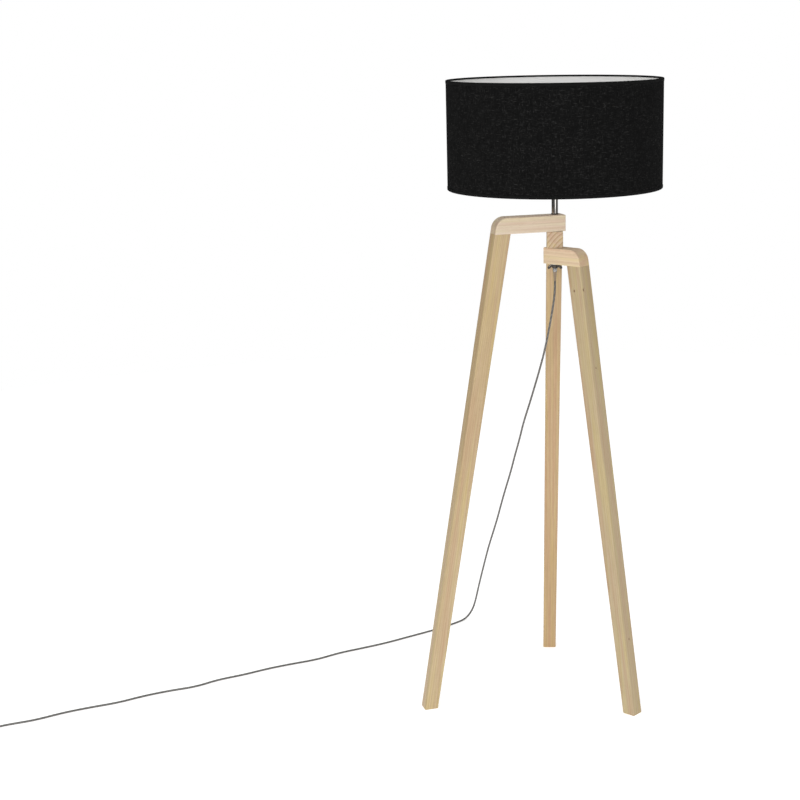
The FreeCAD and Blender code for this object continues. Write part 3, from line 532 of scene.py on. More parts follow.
# Clear round lead over UV (once round, metres along): two grey cores twist under a glossy skin
def makeLead(name, s):
    material, tree, shader = begin(name, Roughness=0.2, Coat_Weight=0.12, Coat_Roughness=0.1,
        Specular_IOR_Level=0.3)
    uv = textureSpace(tree, "UV")
    parts = add(tree, "ShaderNodeSeparateXYZ", {0: uv}).outputs
    twist = calc(tree, "ADD", parts[0], calc(tree, "DIVIDE", parts[1], s["lay"]))
    wave = calc(tree, "SINE", calc(tree, "MULTIPLY", twist, 4 * math.pi))
    core = remap(tree, wave, -0.95, -0.1, smooth=True)
    slanted = calc(tree, "SUBTRACT", parts[1], calc(tree, "MULTIPLY", parts[0], s["strandSlant"]))
    strands = calc(tree, "SINE", calc(tree, "MULTIPLY", slanted, 2 * math.pi / s["strandPitch"]))
    coreTone = mixColour(tree, remap(tree, strands, -1, 1, 0, 0.5), tint(s["core"]), tint(s["core"], 0.6))
    haze = noise(tree, textureSpace(tree), 60, 2)
    clear = mixColour(tree, haze, tint(s["clear"]), tint(s["clear"], 0.8))
    colour = mixColour(tree, core, clear, coreTone)
    through = calc(tree, "MULTIPLY", calc(tree, "SUBTRACT", 1.0, core), s["clearness"])
    rough = remap(tree, haze, 0.3, 0.7, 0.14, 0.3)
    drive(tree, shader, Base_Color=colour, Roughness=rough, Transmission_Weight=through)
    relief(tree, shader, haze, 0.0002)
    return material


floorFinish, floorTree, floorShader = begin("pale_floor", Roughness=0.9, Specular_IOR_Level=0.0,
    Emission_Color=grey(1.0), Emission_Strength=0.45)
floorTone = noise(floorTree, textureSpace(floorTree), 3, 4)
drive(floorTree, floorShader, Base_Color=mixColour(floorTree, floorTone, grey(0.97), grey(1.0)))
floor.data.materials.append(floorFinish)

woodSet = {
    "pale": (0.53, 0.415, 0.262), "warm": (0.43, 0.305, 0.168),
    "streakDepth": 0.85, "rosy": (0.98, 0.86, 0.86), "golden": (1.04, 1.03, 0.84),
    "ringColour": (0.37, 0.245, 0.125), "ringDepth": 0.50, "endDepth": 0.35,
    "ringPitch": 0.0042, "wander": 0.009, "drawnOut": 0.10,
    "fibreColour": (0.80, 0.74, 0.66), "fibreDepth": 0.7,
    "poreColour": (0.24, 0.15, 0.08), "poreDepth": 0.55,
    "endColour": (0.92, 0.89, 0.85), "knotColour": (0.20, 0.10, 0.045),
    "rough": (0.42, 0.62), "relief": 0.00012,
}
finishSet = {
    "white_liner": {"colour": (0.70, 0.70, 0.69), "vary": 0.04, "driftScale": 14, "grainScale": 900,
        "rough": (0.5, 0.7), "relief": 0.0001},
    "white_steel": {"colour": (0.72, 0.72, 0.71), "vary": 0.03, "grainScale": 1600, "rough": (0.35, 0.5),
        "relief": 0.00006},
    "polished_nickel": {"colour": (0.62, 0.60, 0.57), "vary": 0.05, "grainScale": 1500,
        "stretch": (1, 1, 0.02), "metal": 1.0, "rough": (0.03, 0.09), "relief": 0.000004},
    "zinc_steel": {"colour": (0.52, 0.53, 0.55), "vary": 0.15, "driftScale": 300, "grainScale": 2500,
        "metal": 1.0, "rough": (0.25, 0.45), "relief": 0.00002, "rings": ((0, 0, 0), 0.0005)},
    # the wing nut's flecks are painted highlights: light grey spots on the dark metal
    "black_nut": {"colour": (0.075, 0.066, 0.058), "vary": 0.25, "driftScale": 260, "grainScale": 1400,
        "metal": 1.0, "rough": (0.16, 0.30), "relief": 0.00003,
        "flecks": (420, 0.66, (0.30, 0.28, 0.25))},
    "dark_collar": {"colour": (0.03, 0.03, 0.03), "vary": 0.2, "driftScale": 200, "grainScale": 1500,
        "metal": 0.7, "rough": (0.25, 0.4), "relief": 0.00003, "rings": ((0, 0, 0), 0.0004)},
    "fibre": {"colour": (0.30, 0.10, 0.07), "vary": 0.2, "driftScale": 200, "grainScale": 1200,
        "rough": (0.7, 0.9), "relief": 0.00008},
    "black_holder": {"colour": (0.014, 0.014, 0.015), "vary": 0.15, "grainScale": 1300,
        "rough": (0.28, 0.42), "relief": 0.00004},
    "porcelain": {"colour": (0.74, 0.73, 0.69), "vary": 0.03, "grainScale": 500, "rough": (0.12, 0.25),
        "relief": 0.00003, "sockets": {"Coat_Weight": 0.4}},
    "nickelled_brass": {"colour": (0.62, 0.58, 0.50), "vary": 0.08, "grainScale": 1800, "metal": 1.0,
        "rough": (0.2, 0.36), "relief": 0.00002},
    "cap_metal": {"colour": (0.66, 0.66, 0.67), "vary": 0.08, "grainScale": 1500, "metal": 1.0,
        "rough": (0.22, 0.38), "relief": 0.00003},
    "black_glass": {"colour": (0.01, 0.01, 0.012), "vary": 0.1, "grainScale": 400, "rough": (0.08, 0.2),
        "relief": 0.00002},
    "bulb_white": {"colour": (0.78, 0.78, 0.77), "vary": 0.03, "grainScale": 1100, "rough": (0.35, 0.5),
        "relief": 0.00003},
    "opal_globe": {"colour": (0.84, 0.84, 0.82), "vary": 0.02, "grainScale": 300, "rough": (0.22, 0.34),
        "relief": 0.00002, "sockets": {"Coat_Weight": 0.3, "Subsurface_Weight": 0.25}},
    "board_white": {"colour": (0.75, 0.76, 0.74), "vary": 0.05, "grainScale": 900, "rough": (0.4, 0.55),
        "relief": 0.00002, "flecks": (500, 0.68, (0.75, 0.62, 0.2))},
    "black_rubber": {"colour": (0.022, 0.022, 0.023), "vary": 0.15, "grainScale": 1700,
        "rough": (0.5, 0.7), "relief": 0.00006},
    "grey_plug": {"colour": (0.30, 0.29, 0.275), "vary": 0.08, "grainScale": 1500, "rough": (0.35, 0.5),
        "relief": 0.00006, "sockets": {"Coat_Weight": 0.2}},
    "clear_relief": {"colour": (0.25, 0.19, 0.13), "vary": 0.1, "driftScale": 120, "grainScale": 900,
        "rough": (0.22, 0.38), "relief": 0.00003, "sockets": {"Coat_Weight": 0.25}},
    "pin_nickel": {"colour": (0.66, 0.64, 0.60), "vary": 0.06, "grainScale": 2200, "metal": 1.0,
        "rough": (0.18, 0.32), "relief": 0.00002},
    "dowel_wood": {"colour": (0.47, 0.33, 0.19), "vary": 0.15, "grainScale": 1200,
        "stretch": (1, 1, 0.05), "rough": (0.6, 0.8), "relief": 0.0001},
}
linenSet = {
    "pitch": 0.00085, "waver": 0.0012, "slub": 70.0, "slubDepth": 0.8,
    "dark": (0.0030, 0.0030, 0.0030), "mid": (0.0150, 0.0150, 0.0150), "light": (0.052, 0.051, 0.050),
}
bindingSet = {"pitch": 0.0007, "dark": (0.004, 0.004, 0.004), "mid": (0.011, 0.011, 0.011)}
leadSet = {
    "lay": 0.030, "clearness": 0.15, "strandPitch": 0.0011, "strandSlant": 0.004,
    "core": (0.115, 0.110, 0.102), "clear": (0.205, 0.198, 0.185),
}

finishes = {name: makeFinish(name, s) for name, s in finishSet.items()}
finishes["black_linen"] = makeLinen("black_linen", linenSet)
finishes["black_binding"] = makeBinding("black_binding", bindingSet)
finishes["clear_pvc"] = makeLead("clear_pvc", leadSet)
cord.data.materials.append(finishes["clear_pvc"])
print("finishes ready:", len(finishes))


def dress(thing, finish):
    thing.data.materials.clear()
    thing.data.materials.append(finishes[finish] if isinstance(finish, str) else finish)


# A piece rides a body, wears a finish and stands for CAD nodes
def fit(piece, body, finish, slot=None, *stands):
    dress(piece, finish)
    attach(piece, body)
    if stands:
        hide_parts(*stands)
    return piece


legSet = {
    "armHeight": 0.038, "armWidth": 0.038, "postDepth": 0.0385, "footSide": 0.0328, "rounding": 0.0025,
    "seamEase": 0.0005, "footEase": 0.0012,
    "top": {
        "bearing": 201, "reach": 0.148, "splay": 9.5, "rings": (0.035, 0.012),
        "postTone": (1.09, 1.17, 1.23), "armTone": (1.41, 1.68, 2.28), "armRings": (0.02, 0.11),
        "knots": (("side", 0.30, 0.004, 0.0040), ("side", 0.71, -0.006, 0.003)),
    },
    "middle": {
        "bearing": 90.7, "reach": 0.120, "splay": 9.0, "lean": 0.72, "rings": (-0.02, 0.045),
        "postTone": (1.08, 1.07, 1.04), "armTone": (1.22, 1.32, 1.62), "armRings": (0.06, -0.08),
        "armWood": {"ringPitch": 0.0085, "endDepth": 0.8},
        "knots": (("side", 0.45, -0.008, 0.0035),),
    },
    "bottom": {
        "bearing": 322, "reach": 0.0815, "splay": 8.6, "rings": (0.03, -0.03),
        "postTone": (0.89, 0.95, 0.97), "armTone": (1.46, 1.62, 1.95), "armRings": (0.03, -0.12),
        "knots": (("side", 0.0532, -0.005, 0.0024), ("outer", 0.0493, -0.0152, 0.0022),
                  ("outer", 0.2202, -0.0027, 0.0017), ("outer", 0.8269, 0.0002, 0.0019)),
    },
}


# A post: at each height a rectangle with rounded corners, which leans out and narrows on the way down.
# Corner arcs are centre + rounding * (cos, sin), and the end rows shrink along a quarter circle.
def postPiece(name, s, leg, top):
    lean = math.tan(math.radians(leg["splay"]))
    shoulder = leg["reach"] + s["armHeight"] * lean
    rows = []
    for height, ease, side in ((top, s["seamEase"], 1), (0.0, s["footEase"], -1)):
        turn = np.linspace(math.pi / 2, 0, 5)
        shrink, level = ease * (1 - np.cos(turn)), height - side * ease * (1 - np.sin(turn))
        rows += list(zip(level, shrink)) if side > 0 else list(zip(level, shrink))[::-1]
        if side > 0:
            rows += [(z, 0.0) for z in np.linspace(top, 0, 42)[1:-1]]
    level, shrink = np.array(rows).T[:, :, None]
    share = (top - level) / top
    depth = s["postDepth"] + (s["footSide"] - s["postDepth"]) * share - 2 * shrink
    width = s["armWidth"] + (s["footSide"] - s["armWidth"]) * share - 2 * shrink
    outer = shoulder + (top - level) * lean - shrink
    rounding = s["rounding"] - 0.5 * shrink
    arc = np.linspace(0, math.pi / 2, 6)
    turn = np.concatenate([arc + n * math.pi / 2 for n in range(4)])[None, :]
    signX, signY = np.repeat((1, -1, -1, 1), 6)[None, :], np.repeat((1, 1, -1, -1), 6)[None, :]
    along = outer - depth / 2 + signX * (depth / 2 - rounding) + rounding * np.cos(turn)
    across = signY * (width / 2 - rounding) + rounding * np.sin(turn)
    across = across + (top - level) * math.tan(math.radians(leg.get("lean", 0)))
    ring = np.stack((along, across, level + 0 * turn), -1)
    middle = [ring[n].mean(0)[None, None].repeat(24, 1) for n in (0, -1)]
    points = np.concatenate((middle[0], ring, middle[1]), 0)
    bearing = math.radians(leg["bearing"])
    spin = np.array(((math.cos(bearing), math.sin(bearing), 0),
        (-math.sin(bearing), math.cos(bearing), 0), (0, 0, 1)))
    return gridPiece(name, points @ spin, False, True, crease=30), shoulder, lean, bearing


def makeLegs(s):
    for number, name in enumerate(("top", "middle", "bottom")):
        leg = s[name]
        body = "stand" if name == "top" else f"{name}_leg_set"
        top = float(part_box(f"{name}_arm")[0][2])
        post, shoulder, lean, bearing = postPiece(f"{name}_post", s, leg, top)
        outward = Vector((math.cos(bearing), math.sin(bearing), 0))
        sideways = Vector((-math.sin(bearing), math.cos(bearing), 0))
        grain = (outward * lean - Vector((0, 0, 1))).normalized()
        knots = []
        for face, down, across, size in leg["knots"]:    # face, share down it, place across it, size
            at = outward * (shoulder + top * down * lean) + Vector((0, 0, top * (1 - down)))
            if face == "outer":
                at = at + sideways * across
            else:
                at = at + outward * (across - s["postDepth"] / 2) - sideways * s["armWidth"] * 0.48
            knots.append((tuple(at), size))
        wood = makeWood(f"birch_{name}_post", woodSet, tuple(outward * shoulder + Vector((0, 0, top))),
            grain, leg["rings"], number + 1.0, leg["postTone"], knots)
        fit(post, body, wood, "birch_wood", f"{name}_leg")
        armWood = makeWood(f"birch_{name}_arm", dict(woodSet, ringDepth=0.24, **leg.get("armWood", {})),
            (0, 0, top), outward, leg["armRings"], number + 6.0, leg["armTone"])
        dress(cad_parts[f"{name}_arm"], armWood)
        dress(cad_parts[f"{name}_dowels"], "dowel_wood")


makeLegs(legSet)
print("legs done")

clampSet = {
    "threadPitch": 0.001, "threadDepth": 0.00045, "threadSegments": 20, "rowsPerTurn": 5,
    "bore": 0.0034,
    "hub": ((0.00508, 0.0, 0.0), (0.0088, 0.0, 0.0006), (0.0088, -0.0018, 0.0008),
            (0.0074, -0.0042, 0.001), (0.0066, -0.0100, 0.0014), (0.00508, -0.0100, 0.0)),
    "wing": {"root": (0.0052, -0.0052), "bow": (0.0150, -0.0040), "tip": (0.0140, -0.0122),
             "halfWidth": (0.0030, 0.0038), "thickness": 0.0030},
    "reliefRibs": 6,
}


# A thread: radius + depth * triangle wave of (height / pitch - turn), over the rows of an upright outline
def threadSwell(pitch, depth, low, high):
    def swell(turn, radius, height):
        phase = (height / pitch - turn / (2 * np.pi)) % 1.0
        fade = np.clip(np.minimum(height - low, high - height) / pitch, 0, 1)
        return -depth * fade * (1 - np.abs(2 * phase - 1))
    return swell


# Edge ribs of a knob or ring nut: radius + depth * rounded wave, count times round, between two heights
def ribSwell(count, depth, low, high, reach):
    def swell(turn, radius, height):
        inside = (height > low) & (height < high) & (radius > reach)
        return np.where(inside, -depth * (0.5 + 0.5 * np.cos(count * turn)) ** 2, 0.0)
    return swell


# A wing: its middle line is a curve from root over bow to tip, and round it goes a rounded-box section,
# |x|^3 + |y|^3 = 1, whose size falls to nothing along a quarter circle at the tip
def wingPoints(s, side):
    t = np.linspace(0, 1, 24)[:, None]
    root, bow, tip = (np.array(s[name]) for name in ("root", "bow", "tip"))
    middle = (1 - t) ** 2 * root + 2 * t * (1 - t) * bow + t ** 2 * tip
    ahead = 2 * (1 - t) * (bow - root) + 2 * t * (tip - bow)
    ahead /= np.linalg.norm(ahead, axis=1)[:, None]
    normal = np.stack((-ahead[:, 1], ahead[:, 0]), -1)
    blunt = np.sqrt(np.clip(1 - np.clip((t - 0.72) / 0.28, 0, 1) ** 2, 0, 1))
    half = (s["halfWidth"][0] + (s["halfWidth"][1] - s["halfWidth"][0]) * t) * blunt
    turn = np.linspace(0, 2 * np.pi, 24, endpoint=False)[None, :]
    shape = (np.abs(np.cos(turn)) ** 3 + np.abs(np.sin(turn)) ** 3) ** (-1 / 3)
    flat, thick = half * np.cos(turn) * shape, s["thickness"] / 2 * blunt * np.sin(turn) * shape
    x = middle[:, :1] + normal[:, :1] * flat
    z = middle[:, 1:] + normal[:, 1:] * flat
    points = np.stack((side * x, thick, z), -1)
    start = points[:1].mean(1, keepdims=True).repeat(24, 1)
    return np.concatenate((start, points), 0)


def joined(name, pieces, crease=40):                     # several closed skins as one piece
    work = bmesh.new()
    for piece in pieces:
        work.from_mesh(piece.data)
        mesh = piece.data
        bpy.data.objects.remove(piece)
        bpy.data.meshes.remove(mesh)
    mesh = bpy.data.meshes.new(name)
    work.to_mesh(mesh)
    work.free()
    mesh.shade_smooth()
    mesh.set_sharp_from_angle(angle=math.radians(crease))
    piece = bpy.data.objects.new(name, mesh)
    bpy.context.collection.objects.link(piece)
    return piece


def makeClamp(s):
    tubeLow, tubeHigh = (corner[2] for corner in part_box("threaded_tube"))
    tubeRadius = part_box("threaded_tube")[1][0]
    rows = np.linspace(tubeLow, tubeHigh, int((tubeHigh - tubeLow) / s["threadPitch"] * s["rowsPerTurn"]))
    wall = np.stack((np.full_like(rows, tubeRadius), rows), -1)
    bore = np.array(((s["bore"], tubeHigh), (s["bore"], tubeLow)))
    thread = threadSwell(s["threadPitch"], s["threadDepth"], tubeLow, tubeHigh)

    def outside(turn, radius, height):                   # the bore stays plain
        return np.where(radius > 0.0045, thread(turn, radius, height), 0)

    outline = np.concatenate((wall, bore))
    tubePiece = turned("lamp_tube", outline, True, s["threadSegments"], swell=outside)
    fit(tubePiece, "stand", "zinc_steel", None, "threaded_tube")

    low, high = (corner[2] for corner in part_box("clamp_washer"))
    hole, reach = s["hub"][0][0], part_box("clamp_washer")[1][0]
    washer = softOutline((
        (hole, low, 0.0002), (reach, low, 0.0006), (reach, high, 0.0006), (hole, high, 0.0002)))
    fit(turned("seat_washer", washer, True, 96), "washer_set", "zinc_steel", None, "clamp_washer")

    seat = float(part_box("wing_nut")[1][2])
    hub = turned("nut_hub", softOutline(s["hub"]), True, 64)
    wings = [gridPiece("nut_wing", wingPoints(s["wing"], side), False, True) for side in (1, -1)]
    wingNut = joined("wing_nut_cast", [hub] + wings)
    wingNut.data.transform(Matrix.Translation((0, 0, seat)))
    fit(wingNut, "nut_set", "black_nut", None, "wing_nut")

    for name, body in (("upper_friction_washer", "stand"), ("lower_friction_washer", "middle_leg_set")):
        dress(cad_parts[name], "fibre")

    base = float(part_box("pole_collar")[0][2])
    foot = softOutline((
        (0.0052, base, 0), (0.0090, base, 0.0003), (0.0089, base + 0.0012, 0.0006),
        (0.0083, base + 0.0025, 0.0005), (0.0052, base + 0.0025, 0)))
    fit(turned("pole_foot", foot, True, 96), "stand", "dark_collar", "black_nut", "pole_collar")
    low, high = (float(corner[2]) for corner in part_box("pole"))
    reach = float(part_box("pole")[1][0])
    inside = reach - 0.0008
    wall = softOutline((
        (inside, low, 0), (reach, low, 0.0003), (reach, high, 0.0003), (inside, high, 0)))
    fit(turned("pole_tube", wall, True, 128), "stand", "polished_nickel", None, "pole")

    # strain relief: a tapered sleeve with grooves that let it bend
    tip, tubeEnd = float(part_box("strain_relief")[0][2]), float(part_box("threaded_tube")[0][2])
    outline = [(0.00262, tip, 0), (0.0031, tip, 0.0003)]
    for n in range(s["reliefRibs"]):
        z = tip + 0.0022 + n * 0.0028
        r = 0.0031 + 0.0009 * (n + 1) / s["reliefRibs"]
        outline += [(r, z, 0.0002), (r - 0.0006, z + 0.0003, 0.0002), (r - 0.0006, z + 0.0011, 0.0002),
            (r, z + 0.0014, 0.0002)]
    outline += [
        (0.0042, tubeEnd - 0.0020, 0.0003), (0.0046, tubeEnd - 0.0018, 0.0003), (0.0046, tubeEnd, 0.0002),
        (0.0031, tubeEnd, 0), (0.0031, tubeEnd + 0.0095, 0.0003), (0.00262, tubeEnd + 0.0095, 0)]
    sleeve = turned("lead_relief", softOutline(outline, steps=2), True, 40)
    fit(sleeve, "stand", "clear_relief", "clear_pvc", "strain_relief")
    dress(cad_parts["inner_cable"], "grey_plug")


makeClamp(clampSet)
print("clamp and pole done")


holderSet = {
    "bodyRadius": 0.019, "skirtPitch": 0.002, "skirtDepth": 0.0007, "capRibs": 36, "nutRibs": 40,
    "knobLength": 0.013, "knobRadius": 0.007, "knobRibs": 18, "bulbNeck": 0.0142, "housingRibs": 30,
    "plain": {                                           # the CAD's own pieces and what they wear
        "holder_insert": "porcelain", "screw_shell": "nickelled_brass",
        "centre_contact": "nickelled_brass", "terminal_screws": "zinc_steel",
        "switch_block": "black_holder", "switch_spindle": "zinc_steel",
        "bulb_contact": "cap_metal", "bulb_insulator": "black_glass",
        "bulb_cap": "cap_metal", "bulb_board": "board_white",
    },
}


def makeHolder(s):
    low, high = (float(corner[2]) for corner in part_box("holder_cap"))
    reach = float(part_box("holder_cap")[1][0])
    cap = softOutline((
        (0.0, low, 0), (0.0095, low, 0.0008), (0.0115, low + 0.004, 0.002),
        (reach, low + 0.010, 0.003), (reach, high, 0.0006), (0.0, high, 0)), closed=False)
    ribs = ribSwell(s["capRibs"], 0.0005, low + 0.009, high - 0.002, 0.0125)
    fit(turned("holder_dome", cap, False, 216, swell=ribs), "stand", "black_holder", None, "holder_cap")

    low, high = (float(corner[2]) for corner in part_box("holder_body"))
    flange, reach = float(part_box("lower_shade_nut")[0][2]), s["bodyRadius"]
    wide = float(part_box("holder_body")[1][0])
    rows = np.linspace(flange + 0.0006, high - 0.001, 150)
    skirt = np.stack((np.full_like(rows, reach), rows), -1)
    bottom = softOutline((
        (0.0, low, 0), (wide, low, 0.001), (wide, flange, 0.0008), (reach, flange, 0)), closed=False)
    top = softOutline((
        (reach, high, 0.0008), (0.0172, high, 0.0006), (0.0170, high - 0.006, 0)), closed=False)
    inside = np.array(((0.0170, high - 0.012), (0.0, high - 0.012)))
    thread = threadSwell(s["skirtPitch"], s["skirtDepth"], flange + 0.0006, high - 0.001)

    def onSkirt(turn, radius, height):                   # the thread is cut in the skirt only
        return np.where(np.abs(radius - reach) < 1e-6, thread(turn, radius, height), 0)

    outline = np.concatenate((bottom[:-1], skirt, top, inside))
    body = turned("holder_shell", outline, False, 96, swell=onSkirt)
    fit(body, "stand", "black_holder", None, "holder_body")

    for name in ("lower_shade_nut", "upper_shade_nut"):
        low, high = (float(corner[2]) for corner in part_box(name))
        reach = float(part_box(name)[1][0])
        ring = softOutline((
            (0.0191, low, 0.0003), (reach, low, 0.0009), (reach, high, 0.0009), (0.0191, high, 0.0003)))
        ribs = ribSwell(s["nutRibs"], 0.0009, low - 1, high + 1, reach - 0.0012)
        nut = turned(name.replace("shade_nut", "ring_nut"), ring, True, 240, swell=ribs)
        fit(nut, "stand", "black_holder", None, name)

    # switch knob, turned on its spindle's line: a fluted barrel with a crowned end
    low, high = (np.array(corner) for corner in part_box("switch_knob"))
    middle = (low + high) / 2
    outward = np.array((middle[0], middle[1], 0)) / math.hypot(middle[0], middle[1])
    length, reach = s["knobLength"], s["knobRadius"]
    barrel = softOutline((
        (0.0, 0.0, 0), (reach * 0.86, 0.0, 0.0004), (reach, 0.0022, 0.001),
        (reach * 0.93, length - 0.002, 0.0012), (reach * 0.62, length, 0.0012),
        (0.0, length - 0.0003, 0)), closed=False)
    flutes = ribSwell(s["knobRibs"], 0.0007, 0.002, length - 0.0012, reach * 0.8)
    start = middle - outward * length / 2
    axis = tuple(outward)
    thumb = turned("switch_thumb", barrel, False, 144, at=tuple(start), axis=axis, swell=flutes)
    fit(thumb, "knob_set", "black_holder", None, "switch_knob")
    for name, finish in s["plain"].items():
        dress(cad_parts[name], finish)

    # bulb: a fluted white cone and an opal globe that closes on it
    low, high = (float(corner[2]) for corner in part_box("bulb_housing"))
    wide, neck = float(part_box("bulb_housing")[1][0]), s["bulbNeck"]
    rows = np.linspace(0, 1, 24)
    flare = neck + (wide - neck) * (0.5 - 0.5 * np.cos(np.pi * np.clip(rows * 1.05, 0, 1)))
    side = np.stack((flare, low + 0.001 + rows * (high - low - 0.001)), -1)
    cone = np.concatenate((((0.0, low), (neck - 0.0008, low)), side, ((0.0, high),)))
    fins = ribSwell(s["housingRibs"], 0.0006, low + 0.006, high - 0.005, 0.0)
    fit(turned("bulb_cone", cone, False, 240, swell=fins), "stand", "bulb_white", None, "bulb_housing")
    low, high = (float(corner[2]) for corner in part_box("bulb_globe"))
    reach = float(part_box("bulb_globe")[1][0])
    centre = high - reach
    bottomTurn = math.asin(np.clip((low - centre) / reach, -1, 1))
    turn = np.linspace(bottomTurn, math.pi / 2, 40)
    dome = np.stack((reach * np.cos(turn), centre + reach * np.sin(turn)), -1)
    dome[-1, 0] = 0
    globe = turned("bulb_glass", np.concatenate((((0.0, low),), dome)), False, 96)
    fit(globe, "stand", "opal_globe", None, "bulb_globe")


makeHolder(holderSet)
print("lampholder and bulb done")


shadeSet = {
    "segments": 480, "rows": 14, "unevenness": 0.00018, "fabricWall": 0.0010,
    "liningInset": 0.00105, "liningWall": 0.0008,
    "seamAt": 78, "seamWidth": 0.012, "seamHeight": 0.0005,
    "wireTurn": 0.24635, "wireRadius": 0.0018, "wireSegments": 240, "armWidth": 0.005,
}


# Slow waves round a drum: sum of amplitude * sin(n * turn + phase), the same each time
def drumWaves(turn, height, size, seed):
    phases = np.random.default_rng(seed).uniform(0, 2 * np.pi, 9)
    waves = sum(np.sin((n + 2) * turn + phases[n] + 9 * height) / (n + 2) for n in range(9))
    return size * waves


def makeShade(s):
    base, top = float(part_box("bottom_trim")[0][2]), float(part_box("top_trim")[1][2])
    outside, rim = float(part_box("shade_fabric")[1][0]), float(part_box("bottom_trim")[1][0])
    low, high = (float(corner[2]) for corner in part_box("shade_fabric"))
    seam = math.radians(s["seamAt"])

    def drumSwell(turn, radius, height):                 # slightly uneven
        return drumWaves(turn, height, s["unevenness"], 3)

    def fabricSwell(turn, radius, height):               # and with a lapped joint down the back
        lap = ((turn - seam) * outside) / s["seamWidth"]
        step = np.clip((lap + 0.5) * 12, 0, 1) * np.clip((0.5 - lap) * 1.5 + 0.5, 0, 1)
        return drumSwell(turn, radius, height) + s["seamHeight"] * step

    def drumOutline(reach, wall):                        # up the outside and down the inside
        rows = np.linspace(low, high, s["rows"])
        outer, inner = (np.full(s["rows"], radius) for radius in (reach, reach - wall))
        return np.concatenate((np.stack((outer, rows), -1), np.stack((inner, rows[::-1]), -1)))

    drum = drumOutline(outside, s["fabricWall"])
    fabric = turned("shade_linen", drum, True, s["segments"], swell=fabricSwell)
    fit(fabric, "stand", "black_linen", None, "shade_fabric")
    drum = drumOutline(outside - s["liningInset"], s["liningWall"])
    lining = turned("shade_lining", drum, True, s["segments"], swell=drumSwell)
    fit(lining, "stand", "white_liner", None, "shade_liner")

    wireTurn, wireRadius = s["wireTurn"], s["wireRadius"]
    bindings = (("lower_binding", "bottom_trim", base, 1), ("upper_binding", "top_trim", top, -1))
    for name, node, end, side in bindings:
        inside = wireTurn - wireRadius - 0.0007
        outline = softOutline((
            (inside, end, 0.0022), (rim, end, 0.0016),
            (rim, end + side * 0.0070, 0.0003), (rim - 0.0006, end + side * 0.0070, 0.0001),
            (rim - 0.0006, end + side * 0.0006, 0.0010), (inside + 0.0006, end + side * 0.0006, 0.0014),
            (inside + 0.0006, end + side * 0.0042, 0.0001), (inside, end + side * 0.0042, 0.0003),
        ), steps=5)

        def pucker(turn, radius, height):
            ripple = np.sin(97 * turn + 2.1 * np.sin(5 * turn)) * np.sin(31 * turn + 1.0)
            return drumSwell(turn, radius, height) + 0.00010 * ripple

        binding = turned(name, outline, True, s["segments"], swell=pucker)
        fit(binding, "stand", "black_binding", None, node)

    turn = np.linspace(0, 2 * np.pi, s["wireSegments"], endpoint=False)
    for name, node in (("wire_lower", "bottom_wire"), ("wire_upper", "top_wire")):
        z = float(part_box(node)[0][2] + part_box(node)[1][2]) / 2
        ring = np.stack((wireTurn * np.cos(turn), wireTurn * np.sin(turn), z + 0 * turn), -1)
        up = np.tile((0.0, 0, 1.0), (s["wireSegments"], 1))
        fit(tube(name, ring, wireRadius, up, 12, True), "stand", "white_steel", None, node)

    # carrier: a ring between the two ring nuts and three strips, rounded along their edges
    hubLow, hubHigh = (float(corner[2]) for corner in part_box("carrier_hub"))
    reach = float(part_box("carrier_hub")[1][0])
    ring = softOutline((
        (0.0194, hubLow, 0.0003), (reach, hubLow, 0.0008), (reach, hubHigh, 0.0008),
        (0.0194, hubHigh, 0.0003)))
    fit(turned("carrier_ring", ring, True, 160), "stand", "white_steel", None, "carrier_hub")
    foot = float(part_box("carrier_arms")[0][2])
    thickness = hubHigh - hubLow
    line = softOutline((
        (reach - 0.0015, hubLow + thickness / 2, 0), (2 * reach, hubLow + thickness / 2, 0.03),
        (wireTurn - 0.012, foot + thickness / 2, 0.02), (wireTurn + 0.001, foot + thickness / 2, 0),
    ), closed=False, steps=10)
    ahead = np.gradient(line, axis=0)
    ahead /= np.linalg.norm(ahead, axis=1)[:, None]
    half = np.array((s["armWidth"], thickness)) / 2
    around = ((-1, -1), (1, -1), (1, 1), (-1, 1))
    section = softOutline([(a * half[0], b * half[1], 0.0007) for a, b in around], steps=4)
    x = line[:, :1] - ahead[:, 1:] * section[None, :, 1]
    z = line[:, 1:] + ahead[:, :1] * section[None, :, 1]
    strip = np.stack((x, 0 * x + section[None, :, 0], z), -1)
    ends = [strip[n].mean(0)[None, None].repeat(len(section), 1) for n in (0, -1)]
    strip = np.concatenate((ends[0], strip, ends[1]), 0)
    arms = []
    for n in range(3):
        c, q = math.cos(n * 2 * math.pi / 3), math.sin(n * 2 * math.pi / 3)
        spin = np.array(((c, q, 0), (-q, c, 0), (0, 0, 1)))
        arms.append(gridPiece("carrier_strip", strip @ spin, False, True))
    fit(joined("carrier_strips", arms), "stand", "white_steel", None, "carrier_arms")


makeShade(shadeSet)
print("shade done")


plugSet = {
    "tail": 0.018, "length": 0.036, "width": 0.034, "height": 0.015,
    "pinRadius": 0.002, "pinLength": 0.019, "pinPitch": 0.0186, "tieTurn": 118, "tieRadius": 0.0004,
}


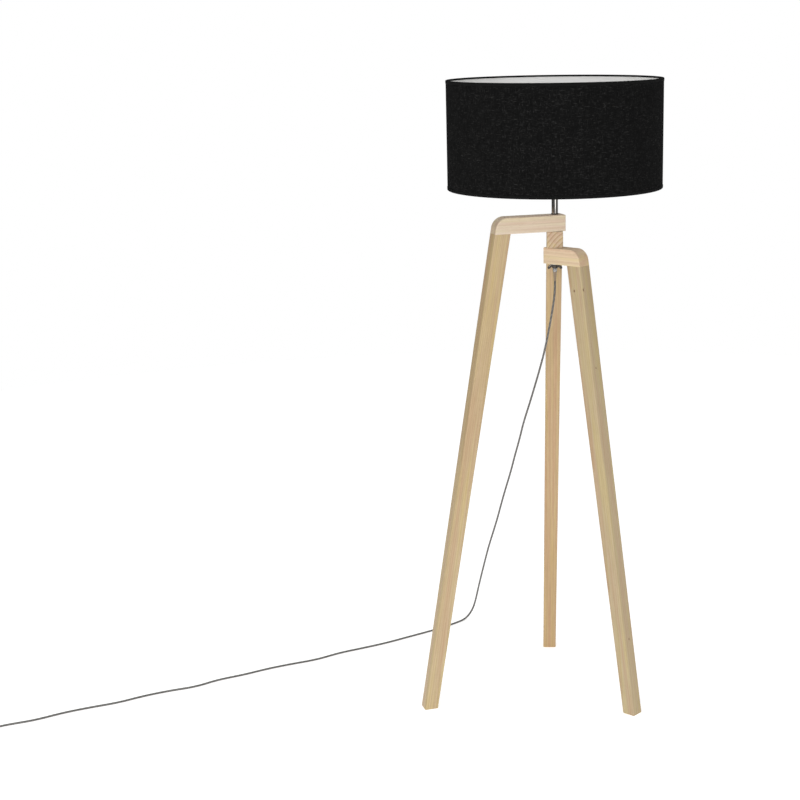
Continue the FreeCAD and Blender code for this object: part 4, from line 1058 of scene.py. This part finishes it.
# The plug: sections |y / halfWidth|^p + |z / halfHeight|^p = 1 along a ribbed tail and then the body
def makePlug(s):
    onBody = s["tail"] + np.linspace(0, 1, 50)[1:] ** 0.9 * s["length"]
    t = np.concatenate((np.linspace(0, s["tail"], 60), onBody))[:, None]
    grow = np.clip((t - s["tail"] * 0.75) / (s["length"] * 0.42), 0, 1)
    grow = grow * grow * (3 - 2 * grow)
    tail = cordSet["radius"] + 0.0008 + 0.0012 * np.clip(t / s["tail"], 0, 1)
    ribs = np.where(t < s["tail"] * 0.85, 0.00045 * (np.cos(2 * np.pi * t / 0.0026) < 0.2), 0)
    waist = 1 - 0.06 * np.exp(-((t - s["tail"] - s["length"] * 0.62) / 0.006) ** 2)
    toEnd = np.clip((t - s["tail"] - s["length"] + 0.0022) / 0.0023, 0, 1)
    endRound = np.sqrt(np.clip(1 - toEnd ** 2, 0.16, 1))
    halfWidth = (tail - ribs) * (1 - grow) + s["width"] / 2 * waist * grow
    halfHeight = (tail - ribs) * (1 - grow) + s["height"] / 2 * grow
    halfWidth, halfHeight = halfWidth - 0.0025 * (1 - endRound), halfHeight - 0.0025 * (1 - endRound)
    power = 2 + 1.4 * grow
    turn = np.linspace(0, 2 * np.pi, 72, endpoint=False)[None, :]
    cosine, sine = np.cos(turn), np.sin(turn)
    shape = (np.abs(cosine) ** power + np.abs(sine) ** power) ** (-1 / power)
    points = np.stack((t + 0 * turn, halfWidth * cosine * shape, halfHeight * sine * shape), -1)
    ends = [points[n].mean(0)[None, None].repeat(72, 1) for n in (0, -1)]
    facing = math.atan2(plugHeading.y, plugHeading.x)
    turnTo = np.array(Matrix.Rotation(facing, 3, "Z"))
    skin = np.concatenate((ends[0], points, ends[1]), 0) @ turnTo.T + np.array(plugRoot)
    body = gridPiece("plug_grip", skin, False, True, crease=32)
    fit(body, "stand", "grey_plug", "clear_pvc", "plug_body")
    pins = []
    r, start = s["pinRadius"], s["tail"] + s["length"] - 0.001
    end = s["tail"] + s["length"] + s["pinLength"]
    outline = softOutline((
        (0, start, 0), (r, start, 0), (r, end - 0.0012, 0.0006), (r * 0.6, end, 0.0007), (0, end, 0),
    ), closed=False, steps=4)
    place = Matrix.Translation(plugRoot) @ Matrix.Rotation(facing, 4, "Z")
    for side in (-1, 1):
        pin = turned("pin", outline, False, 32, axis=(1, 0, 0))
        pin.data.transform(place @ Matrix.Translation((0, side * s["pinPitch"] / 2, 0)))
        pins.append(pin)
    pins = fit(joined("plug_blades", pins), "stand", "pin_nickel", None, "plug_pins")

    # a soft wire tie round the coil's turns
    angle = math.radians(s["tieTurn"])
    outward = np.array((math.cos(angle), math.sin(angle), 0))
    loop = softOutline((
        (-0.0053, 0.0004, 0.002), (0.0053, 0.0004, 0.002), (0.0053, 0.0104, 0.002),
        (-0.0053, 0.0104, 0.002)), steps=6)
    middle = np.array(coilCentre) * (1, 1, 0) + outward * (cordSet["coilTurn"] + cordSet["radius"])
    ring = middle + loop[:, :1] * outward + loop[:, 1:] * np.array((0, 0, 1.0))
    lean = np.tile(np.cross(outward, (0, 0, 1.0)), (len(ring), 1))
    tie = tube("coil_tie", ring, s["tieRadius"], lean, 8, True)
    fit(tie, "stand", "black_rubber", "black_holder")
    return [body, pins, tie]


onCord = makePlug(plugSet)
print("plug done")
